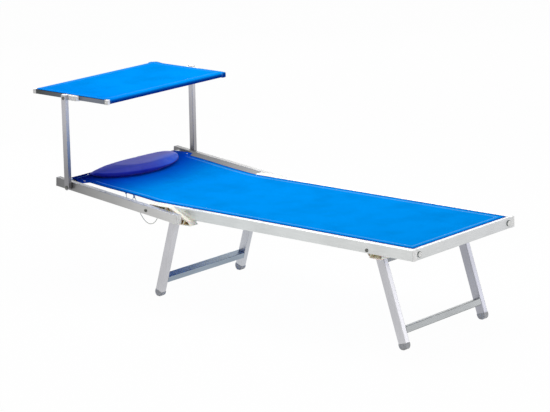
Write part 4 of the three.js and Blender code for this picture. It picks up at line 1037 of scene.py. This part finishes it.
class LOUNGER_OT_fasteners(bpy.types.Operator):
    """Makes the screw heads on the tubes, the flap rivets, the plugs in the foot rail and the caps on the arms."""

    bl_idname = "lounger.fasteners"
    bl_label = "Fasteners"

    def execute(self, context):
        steel = finished("zinc-plated steel, screw heads", zinc_steel, "#7c7d78", "#4d4e4a", 0.36)
        # Painted shade: a dark ring stands for the shaded side of each foot rail plug
        shade_ring_finish = finished("dark ring, painted plug shade", moulded_plastic, "#5f6a66", "#434a48", "#2f3432", 0.6)
        white = finished("moulded polyethylene, white", moulded_plastic, "#f8f8f6", "#d2d4d3", "#b0b3b2", 0.3)
        heads = (
            ("recline_bolt", "backrest", RECLINE), ("arm_pivot_bolt", "backrest", SWING),
            ("roof_pivot_bolt", "canopy_roof", TILT), ("foot_leg_bolt", "seat_frame", JOINTS["foot_leg_fold"]),
        )
        # Each head starts this far inside its bolt's outer face
        seated = 0.0026
        for name, body, pivot in heads:
            for side, sign in SIDES:
                face = sign * (abs(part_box(f"{name}_{side}")[0 if sign < 0 else 1].y) - seated)
                self.piece(f"{name}_{side}_head", placed(screw_head(), (pivot.x, face, pivot.z), (0, sign, 0)),
                           steel, "zinc_steel", body)
        self.plugs(shade_ring_finish, white)
        self.rivets(white)
        self.arm_caps(white)
        return {"FINISHED"}

    def piece(self, name, grid, material, slot, body):
        """One closed turned or moulded piece on its body."""
        made = closed(surface(name, grid, wrap_columns=True))
        made.data.materials.append(material)
        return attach(made, body)

    def plugs(self, shade_ring_finish, white):
        """A dark ring, painted shade round the foot of the plug, and a domed button, turned round the X axis, on each
        end of the foot rail.
        """
        collar = ((0.006, -0.0046), (0.0112, -0.0046), (0.0116, -0.004), (0.0116, -0.0026), (0.011, -0.0021),
                  (0.006, -0.0021), (0.006, -0.0046))
        button = ((0, 0.0008), (0.003, 0.0006), (0.0065, 0.0), (0.009, -0.0009), (0.0104, -0.002), (0.0104, -0.0024),
                  (0.0, -0.0024))
        for side, _ in SIDES:
            low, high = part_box(f"foot_end_plug_{side}")
            place = (high.x, (low.y + high.y) / 2, (low.z + high.z) / 2)
            shade_ring_points, dome = (turned(profile, 28, place, (1, 0, 0)) for profile in (collar, button))
            self.piece(f"plug_shade_ring_{side}", shade_ring_points, shade_ring_finish, "white_plastic", "seat_frame")
            made = self.piece(f"plug_button_{side}", dome, white, "white_plastic", "seat_frame")
            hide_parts(f"foot_end_plug_{side}")

    def rivets(self, white):
        """Two low domes on each flap of the sling."""
        snap = [(0, 0.0018), (0.002, 0.0016), (0.0036, 0.0009), (0.0042, 0.0), (0, 0.0)]
        for side, sign in SIDES:
            for number, (reach, y) in enumerate(((0.421, 0.307), (0.48, 0.229))):
                x, z = back_point(reach, sheet_rise(reach) + 0.0009)
                grid = turned(snap, 18, (x, sign * y, z), (math.sin(INCLINE), 0, math.cos(INCLINE)))
                self.piece(f"flap_rivet_{side}_{number + 1}", grid, white, "white_plastic", "backrest")

    def arm_caps(self, white):
        """A low lid on each arm's top end: rounded oblongs that shrink and rise to the middle."""
        turn = full_turn(40)
        oval = together(np.cos(turn), np.sin(turn))
        ring = np.sign(oval) * np.abs(oval) ** 0.3 * (0.0124, 0.0099)
        # Share of the ring, and height over the arm's end
        steps = np.array([[0, -0.0004], [1, -0.0004], [1, 0.0002], [0.94, 0.0007], [0.6, 0.0009], [0, 0.001]])
        share, height = steps.T[..., None]
        local = together(share * ring[:, 0], share * ring[:, 1], height)
        lean = (math.sin(ARM_LEAN), 0, math.cos(ARM_LEAN))
        for side, _ in SIDES:
            low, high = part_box(f"canopy_arm_{side}")
            top = (SWING.x + ARM_REACH * lean[0], (low.y + high.y) / 2, SWING.z + ARM_REACH * lean[2])
            self.piece(f"arm_cap_{side}", placed(local, top, lean), white, "white_plastic", "canopy_arms")


def screw_head():
    """A pan head round the Z axis: a domed profile turned through a circle, with a cross sunk 1.1 mm into it."""
    depth, angle = 0.0011, full_turn(48)
    radius = np.array([
        0, 0.0004, 0.0008, 0.0012, 0.0017, 0.0022, 0.0027, 0.0034, 0.0046, 0.0058, 0.0066, 0.0069, 0.0069, 0])
    height = np.array([3.8, 3.8, 3.79, 3.78, 3.75, 3.71, 3.65, 3.5, 3.2, 2.8, 2.1, 1.2, -0.1, -0.1]) / 1000
    x, y = radius[:, None] * np.cos(angle), radius[:, None] * np.sin(angle)
    slit = np.minimum(np.abs(x), np.abs(y))
    cross = (1 - smoothstep(slit, 0.0003, 0.0006)) * (1 - smoothstep(radius, 0.0022, 0.0027))[:, None]
    on_top = (np.arange(len(radius)) < len(radius) - 2)[:, None]
    return together(x, y, height[:, None] - depth * cross * on_top)


class LOUNGER_PT_panel(bpy.types.Panel):
    """Lists the lounger's pieces."""

    bl_idname = "LOUNGER_PT_panel"
    bl_label = "Sun lounger"
    bl_space_type = "VIEW_3D"
    bl_region_type = "UI"
    bl_category = "Lounger"

    def draw(self, context):
        for name in STEPS:
            self.layout.operator(f"lounger.{name}")
        for group in (context.scene.lounger_cloth, context.scene.lounger_frame, context.scene.lounger_stage):
            for key in group.bl_rna.properties.keys():
                if key not in ("rna_type", "name"):
                    self.layout.prop(group, key)


STEPS = ("stage", "tie_cord", "frame_finish", "sling", "roof_cloth", "pillow", "fasteners")
CLASSES = (
    LoungerCloth, LoungerFrame, LoungerStage, LOUNGER_OT_stage, LOUNGER_OT_tie_cord, LOUNGER_OT_frame_finish,
    LOUNGER_OT_sling, LOUNGER_OT_roof_cloth, LOUNGER_OT_pillow, LOUNGER_OT_fasteners, LOUNGER_PT_panel,
)


def register():
    for item in CLASSES:
        bpy.utils.register_class(item)
    bpy.types.Scene.lounger_cloth = bpy.props.PointerProperty(type=LoungerCloth)
    bpy.types.Scene.lounger_frame = bpy.props.PointerProperty(type=LoungerFrame)
    bpy.types.Scene.lounger_stage = bpy.props.PointerProperty(type=LoungerStage)


def unregister():
    del bpy.types.Scene.lounger_stage
    del bpy.types.Scene.lounger_frame
    del bpy.types.Scene.lounger_cloth
    for item in reversed(CLASSES):
        bpy.utils.unregister_class(item)


def main():
    """Makes every piece in turn."""
    register()
    for name in STEPS:
        getattr(bpy.ops.lounger, name)()


if __name__ == "__main__":
    main()
